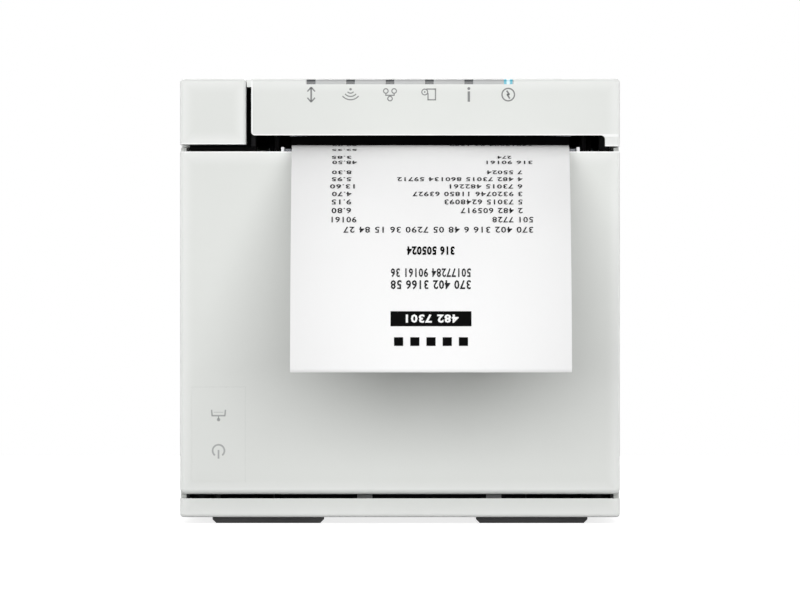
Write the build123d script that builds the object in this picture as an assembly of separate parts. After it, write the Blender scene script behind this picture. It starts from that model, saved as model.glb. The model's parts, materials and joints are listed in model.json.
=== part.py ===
from build123d import *
import math
import os

# A cube-shaped receipt printer that stands with its paper exit at the front.
# X runs to the right, Y to the rear and Z up. The origin lies under the middle of the body,
# on the surface that the feet stand on. All lengths are in millimetres.

# ---------------------------------------------------------------- casing
body_w = 127.0            # overall width
body_d = 127.0            # overall depth of the body, without the receipt
body_h = 126.6            # height of the casing above the feet
foot_h = 1.8
wall = 2.4                # shells of the casing
edge_r = 1.2              # rounding of the outer edges
seam = 0.3                # joint between two shells
tray_rim_h = 5.4          # rim of the base tray
tray_floor_t = 2.0
front_gap = 1.25           # dark gap between the tray and the front cover
cover_h = 98.95            # height of the front cover
exit_gap = 4.65            # paper slot between the front cover and the top cover
side_drop = 3.15           # how far the top cover's sides reach below its front strip
screw_r = 1.5
screw_head_r = 2.8
screw_head_h = 1.8
boss_r = 4.0

# ---------------------------------------------------------------- open button
button_w = 19.1           # across the front, and also its depth
button_low_gap = 2.05      # between the button and the front cover
button_gap = 1.45         # to the right of the button
button_travel = 2.0
button_back_gap = button_travel + 0.4
button_wall = 2.0

# ---------------------------------------------------------------- front cover and its hinge
hinge_up = 6.05           # hinge axis above the cover's lower edge
hinge_pin_r = 1.0
hinge_lug_r = 1.9
hinge_back = wall + hinge_lug_r + 0.3   # hinge axis behind the front face
hinge_lug_w = 4.4
hinge_pitch = 37.4        # between the two hinge lugs
ear_t = 3.0
running = 0.05            # radial clearance of a pin in its hole
loose = 0.3               # clearance beside a moving piece
cover_edge_r = 1.5
key_w = 15.5
key_field_h = 27.4
key_left = 3.3            # from the body's left side to the keys
key_low = 10.2            # from the body's lower edge to the keys
key_gap = 0.2
key_travel = 0.5
key_t = 2.2
board_t = 1.2

# ---------------------------------------------------------------- paper
paper_w = 80.0
paper_x = 8.8             # middle of the paper
paper_t = 0.15
paper_gap = 0.1           # paper to roll, roller and print head
roll_r = 37.5
roll_max_r = 41.5         # largest roll that the bucket takes
core_r = 9.0
core_bore_r = 6.0
roll_back = 58.5          # roll's axis behind the front face
roll_up = 45.6            # roll's axis above the body's lower edge
bucket_t = 1.6
crest_r = 39.0            # first bend of the receipt, from the print head to its crest
receipt_bends = ((22.0, 40.0), (127.0, 17.0), (100.0, 20.0))   # radius, degrees turned down

# ---------------------------------------------------------------- print mechanism
platen_r = 5.9
platen_core_r = 4.0
platen_back = 17.5        # platen's axis behind the front face
platen_drop = 7.1         # platen's axis below the cover's upper edge
shaft_r = 1.5
bushing_r = 3.0
frame_t = 1.2             # steel side frames
side_room = 2.25          # from the paper to the platen brackets
bracket_t = 0.9
ear_h = 1.3               # paper guides above the cover's upper edge
side_gap = 0.8            # from the platen brackets to the side frames
gear_module = 0.6
gear_w = 4.0
platen_teeth = 20
idler_teeth = 30
motor_teeth = 14
backlash = 0.12
idler_angle = -8.9        # direction from the platen to the idler, seen from the right side
motor_angle = -62.0       # direction from the idler to the motor
motor_r = 17.5
motor_len = 16.0
head_len = 20.0
head_nose = 3.0
head_t = 1.0
sink_t = 6.0
lock_back = 32.5          # lock shaft behind the front face
lock_rise = 8.4           # lock shaft above the cover's upper edge
lock_arm = 8.0            # from the lock shaft to where the button pushes
hook_t = 1.2
cutter_t = 0.8
cutter_back = 8.2         # moving blade's front face behind the front face
cutter_h = 11.4
cutter_travel = 4.2
cutter_teeth = 14
cutter_module = 0.5
cutter_motor_r = 4.0

# ---------------------------------------------------------------- front lights
bar_left = 36.3           # from the body's left side
bar_w = 60.0
bar_h = 1.5
light_w = 2.5
light_count = 6
light_pitch = 11.38

# ---------------------------------------------------------------- rear connector bay
bay_w = 96.0
bay_h = 24.0
bay_depth = 16.0
bay_floor = 5.6           # above the body's lower edge

# ---------------------------------------------------------------- derived places
left = -body_w / 2
right = body_w / 2
front = -body_d / 2
rear = body_d / 2
low = foot_h
top = foot_h + body_h
rim_top = low + tray_rim_h
cover_low = rim_top + front_gap
cover_top = cover_low + cover_h
strip_low = cover_top + exit_gap
side_low = strip_low - side_drop
hinge_y = front + hinge_back
hinge_z = cover_low + hinge_up
cover_back = hinge_y + hinge_up
case_front = cover_back + seam
roll_y = front + roll_back
roll_z = low + roll_up
platen_y = front + platen_back
platen_z = cover_top - platen_drop
paper_left = paper_x - paper_w / 2
paper_right = paper_x + paper_w / 2
bracket_left = paper_left - side_room
bracket_right = paper_right + side_room
frame_left = bracket_left - bracket_t - side_gap
frame_right = bracket_right + bracket_t + side_gap
bucket_r = roll_max_r + 1.0
bucket_z = roll_z + bucket_r - roll_r - 0.3
lock_y = front + lock_back
lock_z = cover_top + lock_rise
hinge_xs = (paper_x - 0.3 - hinge_pitch / 2, paper_x - 0.3 + hinge_pitch / 2)

# The paper leaves the top of the roll and runs straight to the top of the platen.
roll_path_r = roll_r + paper_gap
platen_path_r = platen_r + paper_gap
span = math.hypot(platen_y - roll_y, platen_z - roll_z)
span_angle = math.atan2(platen_z - roll_z, platen_y - roll_y)
lift = span_angle - math.acos((roll_path_r - platen_path_r) / span)
normal_y, normal_z = math.cos(lift), math.sin(lift)     # away from the platen, into the head
along_y, along_z = -normal_z, normal_y                  # forwards along the paper
rise = math.degrees(math.atan2(along_z, -along_y))      # slope of the paper at the print line


# ---------------------------------------------------------------- helpers
def block(x0, x1, y0, y1, z0, z1):
    """A box between two corners."""
    middle = Pos((x0 + x1) / 2, (y0 + y1) / 2, (z0 + z1) / 2)
    return middle * Box(x1 - x0, y1 - y0, z1 - z0)


def rod_x(y, z, r, x0, x1):
    """A round bar along X."""
    return Pos((x0 + x1) / 2, y, z) * Rot(0, 90, 0) * Cylinder(r, x1 - x0)


def rod_y(x, z, r, y0, y1):
    """A round bar along Y."""
    return Pos(x, (y0 + y1) / 2, z) * Rot(90, 0, 0) * Cylinder(r, y1 - y0)


def rod_z(x, y, r, z0, z1):
    """A round bar along Z."""
    return Pos(x, y, (z0 + z1) / 2) * Cylinder(r, z1 - z0)


def plate_x(points, x0, x1):
    """A plate with an outline of (y, z) points, between two X values."""
    outline = Plane.YZ.offset(x0) * Polyline(*points, close=True)
    return extrude(make_face(outline), amount=x1 - x0, dir=(1, 0, 0))


def beside(axis_y, axis_z, forward, out):
    """A (y, z) point at a distance along the paper and out from it, from a given axis."""
    return (axis_y + forward * along_y + out * normal_y, axis_z + forward * along_z + out * normal_z)


def turned(point, centre, degrees):
    """A (y, z) point turned about a centre, as seen from the right side."""
    c, s = math.cos(math.radians(degrees)), math.sin(math.radians(degrees))
    dy, dz = point[0] - centre[0], point[1] - centre[1]
    return (centre[0] + dy * c - dz * s, centre[1] + dy * s + dz * c)


def coil_z(x, y, r, wire_r, z0, z1, turns):
    """A compression spring along Z."""
    low_z, high_z = z0 + wire_r, z1 - wire_r
    path = Pos(x, y, low_z) * Helix((high_z - low_z) / turns, high_z - low_z, r)
    section = Plane(origin=path @ 0, z_dir=path % 0) * Circle(wire_r)
    return sweep(section, path=path)


def gear_x(y, z, teeth, module, tooth_at, x0, x1, bore):
    """A spur gear along X, with the middle of one tooth at a direction in degrees."""
    pitch_r = module * teeth / 2
    base_r = pitch_r * math.cos(math.radians(20))
    tip_r = pitch_r + 0.85 * module
    root_r = pitch_r - 1.05 * module
    pressure = math.tan(math.radians(20)) - math.radians(20)
    half = math.pi / (2 * teeth) - backlash * module / pitch_r + pressure
    profile = []
    steps = 5
    for i in range(steps):
        r = max(base_r, root_r) + (tip_r - max(base_r, root_r)) * i / (steps - 1)
        roll_off = math.acos(min(1.0, base_r / r))
        profile.append((r, half - (math.tan(roll_off) - roll_off)))
    if root_r < base_r:
        profile.insert(0, (root_r, half))
    outline = []
    for k in range(teeth):
        middle = math.radians(tooth_at) + 2 * math.pi * k / teeth
        flank = [(r, middle - a) for r, a in profile] + [(r, middle + a) for r, a in reversed(profile)]
        outline += [(y + r * math.cos(a), z + r * math.sin(a)) for r, a in flank]
    return plate_x(outline, x0, x1) - rod_x(y, z, bore, x0 - 1, x1 + 1)


def mate_angle(tooth_at, teeth, direction, mate_teeth):
    """Where the mating gear has a tooth, so that it meets a gap of the first gear."""
    pitch = 360 / teeth
    part_pitch = ((direction - tooth_at) % pitch) / pitch
    return direction + 180 + (part_pitch - 0.5) * 360 / mate_teeth


def save(name, *solids):
    """Write one node, a single solid or a group of separate ones."""
    shape = solids[0] if len(solids) == 1 else Compound(children=[s for s in solids])
    export_step(shape, f"parts/{name}.step")


os.makedirs("parts", exist_ok=True)


# ---------------------------------------------------------------- base tray, feet and screws
corner_xs = (left + 5.4, right - 5.4)
corner_ys = (front + 24.0, rear - 9.0)
post_front = cover_back + 1.5     # hinge posts stand behind the cover's lower edge
post_t = 4.0
bay_z0 = low + bay_floor
bay_z1 = bay_z0 + bay_h
bay_y = rear - bay_depth
board_z = bay_z0 + 1.6
board_xs = (-40.0, 40.0)
board_ys = (bay_y - wall - 27.0, bay_y - wall - 18.5)


def base_tray():
    tray = block(left, right, front, rear, low, rim_top)
    tray = fillet(tray.edges().filter_by(Axis.Z), edge_r)
    tray = fillet(tray.faces().sort_by(Axis.Z)[0].edges(), edge_r * 0.8)
    tray -= block(left + wall, right - wall, front + wall, rear - wall, low + tray_floor_t, rim_top + 1)
    for x in corner_xs:
        for y in corner_ys:
            tray += rod_z(x, y, boss_r, low + tray_floor_t - 0.5, rim_top)
            tray -= rod_z(x, y, screw_r, low - 1, rim_top + 1)
            tray -= rod_z(x, y, screw_head_r, low - 1, low + screw_head_h)
    for x in hinge_xs:
        x0, x1 = x - hinge_lug_w / 2, x + hinge_lug_w / 2
        tray += block(x0, x1, post_front, post_front + post_t, low + tray_floor_t - 0.5,
                      hinge_z + hinge_lug_r)
        tray += block(x0, x1, hinge_y, post_front + 1, hinge_z - hinge_lug_r, hinge_z + hinge_lug_r)
        tray += rod_x(hinge_y, hinge_z, hinge_lug_r, x0, x1)
        tray -= rod_x(hinge_y, hinge_z, hinge_pin_r + running, x0 - 1, x1 + 1)
    for x in board_xs:
        for y in board_ys:
            tray += rod_z(x, y, 2.6, low + tray_floor_t - 0.5, board_z)
            tray -= rod_z(x, y, 0.9, low + tray_floor_t, board_z + 1)
    return tray


def rubber_feet():
    """Two wide front feet and two wide rear feet with sloping ends."""
    feet = []
    for x_in, x_out in ((-22.0, left + 9.3), (22.0, right - 9.3)):
        for y in (front + 8.5, rear - 8.5):
            x0, x1 = sorted((x_in, x_out))
            foot = block(x0, x1, y - 5, y + 5, 0, foot_h)
            ends = foot.faces().sort_by(Axis.Z)[0].edges()
            feet.append(chamfer(ends, foot_h * 0.6))
    return feet


def base_screws():
    screws = []
    for x in corner_xs:
        for y in corner_ys:
            screw = rod_z(x, y, screw_head_r - 0.1, low + 0.3, low + screw_head_h)
            screw += rod_z(x, y, screw_r - 0.1, low + screw_head_h - 0.2, rim_top + 6)
            screw -= block(x - 2, x + 2, y - 0.4, y + 0.4, low, low + 1.1)
            screws.append(screw)
    return screws


save("base_tray", base_tray())
save("rubber_feet", *rubber_feet())
save("base_screws", *base_screws())

# ---------------------------------------------------------------- main case
case_low = rim_top
case_top = side_low - seam
socket_y = bay_y + 0.6            # how far the sockets' faces stand in the bay

# name, middle x, width, height above the board
sockets = {
    "drawer_socket": (-36.0, 12.6, 12.0),
    "power_inlet": (-15.0, 14.0, 13.0),
    "network_socket": (6.0, 16.0, 13.4),
    "usb_b_socket": (25.0, 12.0, 11.0),
    "usb_a_socket": (39.5, 6.8, 13.1),
}
socket_len = 16.0
socket_clear = 0.3


def main_case():
    case = block(left, right, case_front, rear, case_low, case_top)
    case = fillet(case.edges().filter_by(Axis.Z).group_by(Axis.Y)[-1], edge_r)
    case -= block(left + wall, right - wall, case_front - 1, rear - wall, case_low - 1, case_top + 1)
    bay = block(-bay_w / 2 - wall, bay_w / 2 + wall, bay_y - wall, rear - wall / 2, case_low, bay_z1 + wall)
    case += bay
    case -= block(-bay_w / 2, bay_w / 2, bay_y, rear + 1, case_low - 1, bay_z1)
    for x, w, h in sockets.values():
        case -= block(x - w / 2 - socket_clear, x + w / 2 + socket_clear, bay_y - wall - 1, bay_y + 1,
                      board_z + board_t - socket_clear, board_z + board_t + h + socket_clear)
    case -= block(-bay_w / 2 + 1, bay_w / 2 - 1, bay_y - wall - 1, bay_y - 1.4, case_low - 1,
                  board_z + board_t + 0.4)
    for x in corner_xs:
        for y in corner_ys:
            side = left + wall / 2 if x < 0 else right - wall / 2
            case += rod_z(x, y, boss_r, case_low, case_low + 9)
            case += block(min(x, side), max(x, side), y - 1, y + 1, case_low, case_low + 9)
            case -= rod_z(x, y, screw_r, case_low - 1, case_low + 7)
    for x in (left + wall, right - wall - 3):
        for y in (case_front + 24, rear - 16):
            case += block(x, x + 3, y - 4, y + 4, case_top - 4, case_top + 5)
    return case


save("main_case", main_case())


# ---------------------------------------------------------------- top cover and its lights
leg_w = 4.3               # front leg at the right end of the paper slot
lip_r = 1.0             # rounding of the strip's lower corner beside the button
bar_x0 = left + bar_left
bar_x1 = bar_x0 + bar_w
bar_low = top - 0.1 - bar_h
bar_deep = 2.0
window_t = 1.2
guide_low = top - wall - 2.2
light_z = top - wall - 0.7
guide_back = front + wall + 1.6
light_xs = [bar_x0 + bar_w / 2 + (i - (light_count - 1) / 2) * light_pitch for i in range(light_count)]
well_x = left + button_w + button_gap
well_y = front + button_w + button_back_gap
well_t = 1.2
led_board_y = guide_back + 1.5


def top_cover():
    shell = block(left, right, front, rear, side_low, top)
    shell = fillet(shell.edges().filter_by(Axis.Z), edge_r)
    shell = fillet(shell.faces().sort_by(Axis.Z)[-1].edges(), edge_r)
    shell -= block(left + wall, right - wall, front + wall, rear - wall, side_low - 1, top - wall)
    slot = block(left - 1, right - leg_w, front - 1, front + wall + 1, side_low - 1, strip_low)
    shell -= fillet(slot.edges().filter_by(Axis.Y).sort_by(Axis.X)[-2:].sort_by(Axis.Z)[-1], 1.2)
    shell -= block(left - 1, well_x, front - 1, well_y, side_low - 1, top + 1)
    lip = shell.edges().filter_by(Axis.Y).filter_by_position(Axis.X, well_x - 0.01, well_x + 0.01)
    shell = fillet(lip.filter_by_position(Axis.Z, strip_low - 0.01, strip_low + 0.01), lip_r)
    shell += block(left + button_w + 0.15, well_x + 0.1, front + 0.3, well_y + 0.1, top - wall, top - 0.4)
    shell -= block(bar_x0, bar_x1, front - 1, front + bar_deep, bar_low, top + 1)
    for x in light_xs:
        shell -= block(x - light_w / 2, x + light_w / 2, front + window_t - 0.3, guide_back + 0.2,
                       guide_low, bar_low)
    return shell


def light_bar():
    bar = block(bar_x0, bar_x1, front + 0.1, front + bar_deep, bar_low, top - 0.1)
    bar = fillet(bar.edges().filter_by(Axis.X).sort_by(Axis.Y)[:2].sort_by(Axis.Z)[-1], 0.9)
    for x in light_xs:
        bar -= block(x - light_w / 2, x + light_w / 2, front - 1, front + window_t, bar_low - 1, top + 1)
    return bar


def light_guides():
    guides = []
    for x in light_xs:
        window = block(x - light_w / 2, x + light_w / 2, front + 0.1, front + window_t, bar_low, top - 0.1)
        window = fillet(window.edges().filter_by(Axis.X).sort_by(Axis.Y)[:2].sort_by(Axis.Z)[-1], 0.9)
        foot = block(x - light_w / 2, x + light_w / 2, front + window_t - 0.3, guide_back,
                     guide_low, bar_low)
        guides.append(window + foot)
    return guides


def light_board():
    board = block(bar_x0, bar_x1, led_board_y, led_board_y + board_t, strip_low + 2.2, top - wall)
    return board


def lights():
    y0 = guide_back + 0.3
    return [block(x - 1, x + 1, y0, led_board_y, light_z - 0.6, light_z + 0.6) for x in light_xs]


save("top_cover", top_cover())
save("light_bar", light_bar())
save("light_guides", *light_guides())
save("light_board", light_board())
save("lights", *lights())

# ---------------------------------------------------------------- open button and its guide
button_low = cover_top + button_low_gap
stem_x = left + button_w - 5.0
stem_w = 4.0
stem_z = lock_z + lock_arm
stem_h = 1.6
stem_end = lock_y - 1.5 - 0.35


def open_button():
    x1, y1 = left + button_w, front + button_w
    body = block(left, x1, front, y1, button_low, top)
    body = fillet(body.edges().filter_by(Axis.Z), edge_r)
    body = fillet(body.faces().sort_by(Axis.Z)[-1].edges(), edge_r)
    body -= block(left + button_wall, x1 - button_wall, front + button_wall, y1 + 1, button_low + button_wall,
                  top - button_wall)
    body += block(left + button_wall, x1 - button_wall, y1 - 2, y1 - 0.5, button_low + 1, top - 1)
    body += block(stem_x - stem_w / 2, stem_x + stem_w / 2, y1 - 1, stem_end, stem_z - stem_h / 2,
                  stem_z + stem_h / 2)
    return body


def button_guide():
    """Dark lining around the button that also carries its stem."""
    low_z = cover_top + 0.4
    guide = block(well_x, well_x + well_t, front + wall + 0.1, well_y + well_t, side_low, top - wall)
    guide += block(left + wall, well_x + well_t, well_y, well_y + well_t, side_low, top - wall)
    guide += block(left + wall + 0.2, well_x + well_t, case_front + 1, well_y + well_t, low_z, side_low)
    guide -= block(stem_x - stem_w / 2 - 0.1, stem_x + stem_w / 2 + 0.1, well_y - 1, well_y + well_t + 1,
                   stem_z - stem_h / 2 - 0.1, stem_z + stem_h / 2 + 0.1)
    return guide


def button_spring():
    y1 = front + button_w
    spring = coil_z(0, 0, 2.0, 0.25, 0, well_y - y1 + 0.5, 3)
    return Pos(left + 7, y1 - 0.5, button_low + 8) * Rot(-90, 0, 0) * spring


save("open_button", open_button())
save("button_guide", button_guide())
save("button_spring", button_spring())

# ---------------------------------------------------------------- front cover and keys
key_x0 = left + key_left
key_x1 = key_x0 + key_w
key_z0 = low + key_low
key_z1 = key_z0 + key_field_h
key_split = (key_z0 + key_z1) / 2
panel_back = front + wall
key_board_y = panel_back + 4.6
key_board_x1 = key_x1 + 3.0


def front_cover():
    shell = block(left, right, front, cover_back, cover_low, cover_top)
    shell = fillet(shell.edges().filter_by(Axis.Z).group_by(Axis.Y)[0], edge_r)
    bottom = shell.faces().sort_by(Axis.Z)[0].edges().filter_by(Axis.X)
    shell = fillet(bottom.sort_by(Axis.Y)[-1], hinge_up - 0.05)
    bottom = shell.faces().filter_by(Axis.Z).sort_by(Axis.Z)[0].edges().filter_by(Axis.X)
    shell = fillet(bottom.sort_by(Axis.Y)[0], cover_edge_r)
    shell -= block(left + wall, right - wall, panel_back, cover_back + 1, cover_low + wall, cover_top + 1)
    for x in hinge_xs:
        half = hinge_lug_w / 2 + loose
        shell -= block(x - half, x + half, hinge_y - hinge_lug_r - 0.2, cover_back + 1,
                       cover_low - 1, hinge_z)
        for x0 in (x - half - ear_t, x + half):
            ear = block(x0, x0 + ear_t, panel_back - 0.5, hinge_y, hinge_z - hinge_lug_r,
                        hinge_z + hinge_lug_r)
            ear += rod_x(hinge_y, hinge_z, hinge_lug_r, x0, x0 + ear_t)
            shell += ear
        shell -= rod_x(hinge_y, hinge_z, hinge_pin_r, x - half - ear_t - 1, x + half + ear_t + 1)
    shell -= block(key_x0, key_x1, front - 1, panel_back + 1, key_z0, key_z1)
    for z in (key_z0 + 3, key_z1 - 3):
        shell += block(key_x1 + 0.6, key_board_x1, panel_back - 0.5, key_board_y, z - 2, z + 2)
    return shell


def key(z0, z1):
    x0, x1 = key_x0 + key_gap, key_x1 - key_gap
    cap = block(x0, x1, front + 0.05, front + key_t, z0, z1)
    cap = fillet(cap.faces().sort_by(Axis.Y)[0].edges(), 0.15)
    middle = (z0 + z1) / 2
    cap += rod_y((x0 + x1) / 2, middle, 1.6, front + key_t - 0.5, key_board_y - 3.0 - key_travel - 0.1)
    return cap


def key_switches():
    x = (key_x0 + key_x1) / 2
    switches = []
    for z0, z1 in ((key_z0, key_split), (key_split, key_z1)):
        z = (z0 + z1) / 2
        body = block(x - 3, x + 3, key_board_y - 2.0, key_board_y, z - 3, z + 3)
        switches.append(body + rod_y(x, z, 1.7, key_board_y - 3.0, key_board_y - 1.9))
    return switches


def hinge_pins():
    reach = hinge_lug_w / 2 + loose + ear_t
    return [rod_x(hinge_y, hinge_z, hinge_pin_r, x - reach, x + reach) for x in hinge_xs]


save("front_cover", front_cover())
save("feed_key", key(key_split + 0.08, key_z1 - key_gap))
save("power_key", key(key_z0 + key_gap, key_split - 0.08))
save("key_board", block(left + wall, key_board_x1, key_board_y, key_board_y + board_t,
                        key_z0 + 0.4, key_z1 - 0.4))
save("key_switches", *key_switches())
save("hinge_pins", *hinge_pins())

# ---------------------------------------------------------------- frame inside the front cover
beam_low = platen_z - 14
beam_y = panel_back
blade_front = front + cutter_back
fixed_y1 = blade_front - 0.1
fixed_y0 = fixed_y1 - cutter_t
fixed_top = cover_top + 0.8
inner_left = bracket_left
inner_right = bracket_right
liner_r = bucket_r + 1.5


def cover_frame():
    beam = block(inner_left, inner_right, beam_y, beam_y + 2, beam_low, cover_top - 1.6)
    beam += block(inner_left, inner_right, beam_y, fixed_y0, cover_top - 6, cover_top - 1.6)
    liner = rod_x(roll_y, bucket_z, liner_r + 1.5, inner_left + 1, inner_right - 1)
    liner -= rod_x(roll_y, bucket_z, liner_r, inner_left, inner_right)
    reach = 2 * liner_r
    wedge = [(roll_y, bucket_z)]
    for angle in (148, 182, 216):
        turn = math.radians(angle)
        wedge.append((roll_y + reach * math.cos(turn), bucket_z + reach * math.sin(turn)))
    liner &= plate_x(wedge, inner_left, inner_right)
    beam += liner
    for x in (inner_left + 14, paper_x, inner_right - 14):
        foot_y = roll_y - liner_r - 0.4
        beam += block(x - 0.8, x + 0.8, beam_y, foot_y, bucket_z - 12, bucket_z + 12)
        beam += block(x - 0.8, x + 0.8, beam_y, beam_y + 2, bucket_z, beam_low + 1)
    return beam


def platen_brackets():
    outline = [
        (beam_y, beam_low),
        (beam_y, cover_top - 1.0),
        (beam_y + 1.0, cover_top + ear_h),
        (beam_y + 4.2, cover_top + ear_h),
        (beam_y + 5.2, cover_top - 1.0),
        (platen_y - 7, cover_top - 1.0),
        (platen_y + 2.5, platen_z + 4.2),
        (platen_y + 4.4, platen_z),
        (platen_y + 2, platen_z - 4.5),
        (platen_y - 8, beam_low),
    ]
    plates = []
    for x0 in (bracket_left - bracket_t, bracket_right):
        plate = plate_x(outline, x0, x0 + bracket_t)
        plates.append(plate - rod_x(platen_y, platen_z, bushing_r, x0 - 1, x0 + bracket_t + 1))
    return plates


def paper_ramp():
    """Carries the paper from the roller to the fixed blade."""
    ramp_y = blade_front + cutter_t + 0.3
    outline = [
        (ramp_y, cover_top - 0.9),
        (ramp_y, cover_top + 0.3),
        (ramp_y + 3.2, cover_top - 0.7),
        (ramp_y + 3.2, cover_top - 1.9),
    ]
    return plate_x(outline, inner_left, inner_right)


def fixed_blade():
    return block(inner_left + 0.2, inner_right - 0.2, fixed_y0, fixed_y1, cover_top - 5.6, fixed_top)


save("cover_frame", cover_frame())
save("platen_brackets", *platen_brackets())
save("paper_ramp", paper_ramp())
save("fixed_blade", fixed_blade())

# ---------------------------------------------------------------- platen roller and its drive
gear_x1 = frame_left - frame_t - 0.2 - hook_t - 0.2
gear_x0 = gear_x1 - gear_w
shaft_left = gear_x0 - 0.5
shaft_right = frame_right + frame_t + 0.2 + hook_t + 0.6
mesh_1 = gear_module * (platen_teeth + idler_teeth) / 2
mesh_2 = gear_module * (idler_teeth + motor_teeth) / 2
idler_y = platen_y + mesh_1 * math.cos(math.radians(idler_angle))
idler_z = platen_z + mesh_1 * math.sin(math.radians(idler_angle))
motor_y = idler_y + mesh_2 * math.cos(math.radians(motor_angle))
motor_z = idler_z + mesh_2 * math.sin(math.radians(motor_angle))
idler_tooth = mate_angle(idler_angle, platen_teeth, idler_angle, idler_teeth)
motor_tooth = mate_angle(idler_tooth, idler_teeth, motor_angle, motor_teeth)
motor_x1 = gear_x0 - 1.8
motor_x0 = motor_x1 - motor_len
standoff_reach = motor_r + 3.5
standoff_angles = (30.0, 210.0)


def platen_roller():
    rubber = rod_x(platen_y, platen_z, platen_r, paper_left - 0.5, paper_right + 0.5)
    return rubber - rod_x(platen_y, platen_z, platen_core_r, left, right)


def platen_shaft():
    shaft = rod_x(platen_y, platen_z, platen_core_r, paper_left - 0.5, paper_right + 0.5)
    return shaft + rod_x(platen_y, platen_z, shaft_r, shaft_left, shaft_right)


def platen_bushings():
    bushings = []
    for x0, side in ((bracket_left - bracket_t - 0.4, 1), (bracket_right - 0.9, -1)):
        x1 = x0 + bracket_t + 1.3
        bushing = rod_x(platen_y, platen_z, bushing_r, x0, x1)
        lip = bracket_left + 0.05 if side > 0 else bracket_right - 0.05 - 0.8
        bushing += rod_x(platen_y, platen_z, bushing_r + 0.9, lip, lip + 0.8)
        bushings.append(bushing - rod_x(platen_y, platen_z, shaft_r + running, x0 - 1, x1 + 1))
    return bushings


def feed_motor():
    body = rod_x(motor_y, motor_z, motor_r, motor_x0, motor_x1)
    for angle in standoff_angles:
        y, z = turned((motor_y + standoff_reach, motor_z), (motor_y, motor_z), angle)
        body += rod_x(y, z, 3.4, motor_x1 - 1.0, motor_x1)
        y_in, z_in = turned((motor_y + motor_r - 2, motor_z), (motor_y, motor_z), angle)
        body += Pos(0, (y + y_in) / 2, (z + z_in) / 2) * Rot(angle, 0, 0) * block(
            motor_x1 - 1.0, motor_x1, -4, 4, -3.4, 3.4)
    for angle in standoff_angles:
        y, z = turned((motor_y + standoff_reach, motor_z), (motor_y, motor_z), angle)
        body -= rod_x(y, z, screw_r, motor_x1 - 3, motor_x1 + 1)
    return body - rod_x(motor_y, motor_z, 1.2 + running, motor_x1 - 6, motor_x1 + 1)


def motor_pinion():
    gear = gear_x(motor_y, motor_z, motor_teeth, gear_module, motor_tooth, gear_x0, gear_x1, 1.0)
    return gear + rod_x(motor_y, motor_z, 1.2, motor_x1 - 5.5, gear_x1)


def motor_standoffs():
    posts = []
    for angle in standoff_angles:
        y, z = turned((motor_y + standoff_reach, motor_z), (motor_y, motor_z), angle)
        posts.append(rod_x(y, z, 2.6, motor_x1, frame_left - frame_t) - rod_x(y, z, screw_r, left, right))
    return posts


def motor_screws():
    screws = []
    for angle in standoff_angles:
        y, z = turned((motor_y + standoff_reach, motor_z), (motor_y, motor_z), angle)
        screw = rod_x(y, z, screw_r - 0.1, motor_x1 - 2.0, frame_left)
        screw += rod_x(y, z, screw_head_r, motor_x1 - 2.0 - screw_head_h, motor_x1 - 1.0)
        screws.append(screw - block(motor_x1 - 5, motor_x1 - 3, y - 0.4, y + 0.4, z - 2, z + 2))
    return screws


def idler_pin():
    pin = rod_x(idler_y, idler_z, shaft_r, gear_x0 - 0.6, frame_left)
    return pin + rod_x(idler_y, idler_z, shaft_r + 0.8, gear_x0 - 1.2, gear_x0 - 0.2)


save("platen_roller", platen_roller())
save("platen_shaft", platen_shaft())
save("platen_bushings", *platen_bushings())
save("platen_gear", gear_x(platen_y, platen_z, platen_teeth, gear_module, idler_angle,
                           gear_x0, gear_x1, shaft_r))
save("idler_gear", gear_x(idler_y, idler_z, idler_teeth, gear_module, idler_tooth, gear_x0, gear_x1,
                          shaft_r + running))
save("idler_pin", idler_pin())
save("feed_motor", feed_motor())
save("motor_pinion", motor_pinion())
save("motor_standoffs", *motor_standoffs())
save("motor_screws", *motor_screws())

# ---------------------------------------------------------------- print head
plane_out = platen_path_r + paper_t + paper_gap
head_x0 = paper_left - 0.4
head_x1 = paper_right + 0.4
head_back = head_nose - head_len
pivot_y, pivot_z = beside(platen_y, platen_z, head_back + 2.2, plane_out + head_t + sink_t / 2)
spring_y = platen_y + 8.0
spring_xs = (paper_x - 22, paper_x + 22)
frame_top = lock_z + 4.0
bracket_z = frame_top - 2.2
spring_r = 2.0
spring_wire_r = 0.3
seat_r = spring_r + spring_wire_r + 0.5
sink_out = plane_out + head_t + sink_t
sink_y, sink_z = beside(platen_y, platen_z, 0, sink_out)
seat_z = sink_z + (sink_y - spring_y + seat_r) * along_z / normal_z + 0.1


def print_head():
    outline = [
        beside(platen_y, platen_z, head_back, plane_out),
        beside(platen_y, platen_z, head_nose, plane_out),
        beside(platen_y, platen_z, head_nose, plane_out + head_t),
        beside(platen_y, platen_z, head_back, plane_out + head_t),
    ]
    return plate_x(outline, head_x0, head_x1)


def heat_sink():
    inner, outer = plane_out + head_t, sink_out
    outline = [
        beside(platen_y, platen_z, head_back, inner),
        beside(platen_y, platen_z, head_nose - 1.5, inner),
        beside(platen_y, platen_z, head_nose - 1.5, outer),
    ]
    for k in range(3):
        f = head_nose - 4.0 - 3.0 * k
        outline += [beside(platen_y, platen_z, f, outer), beside(platen_y, platen_z, f, outer - 2)]
        outline += [beside(platen_y, platen_z, f - 1.4, outer - 2),
                    beside(platen_y, platen_z, f - 1.4, outer)]
    outline.append(beside(platen_y, platen_z, head_back, outer))
    sink = plate_x(outline, head_x0, head_x1)
    for x in spring_xs:
        sink += rod_z(x, spring_y, seat_r, seat_z - 3.2, seat_z)
    return sink - rod_x(pivot_y, pivot_z, shaft_r + running, left, right)


def head_bracket():
    plate = block(frame_left, frame_right, spring_y - 5.5, spring_y + 4.3, bracket_z, bracket_z + 1.2)
    for x in spring_xs:
        plate += rod_z(x, spring_y, 1.2, bracket_z - 2.0, bracket_z + 0.5)
    return plate


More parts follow.
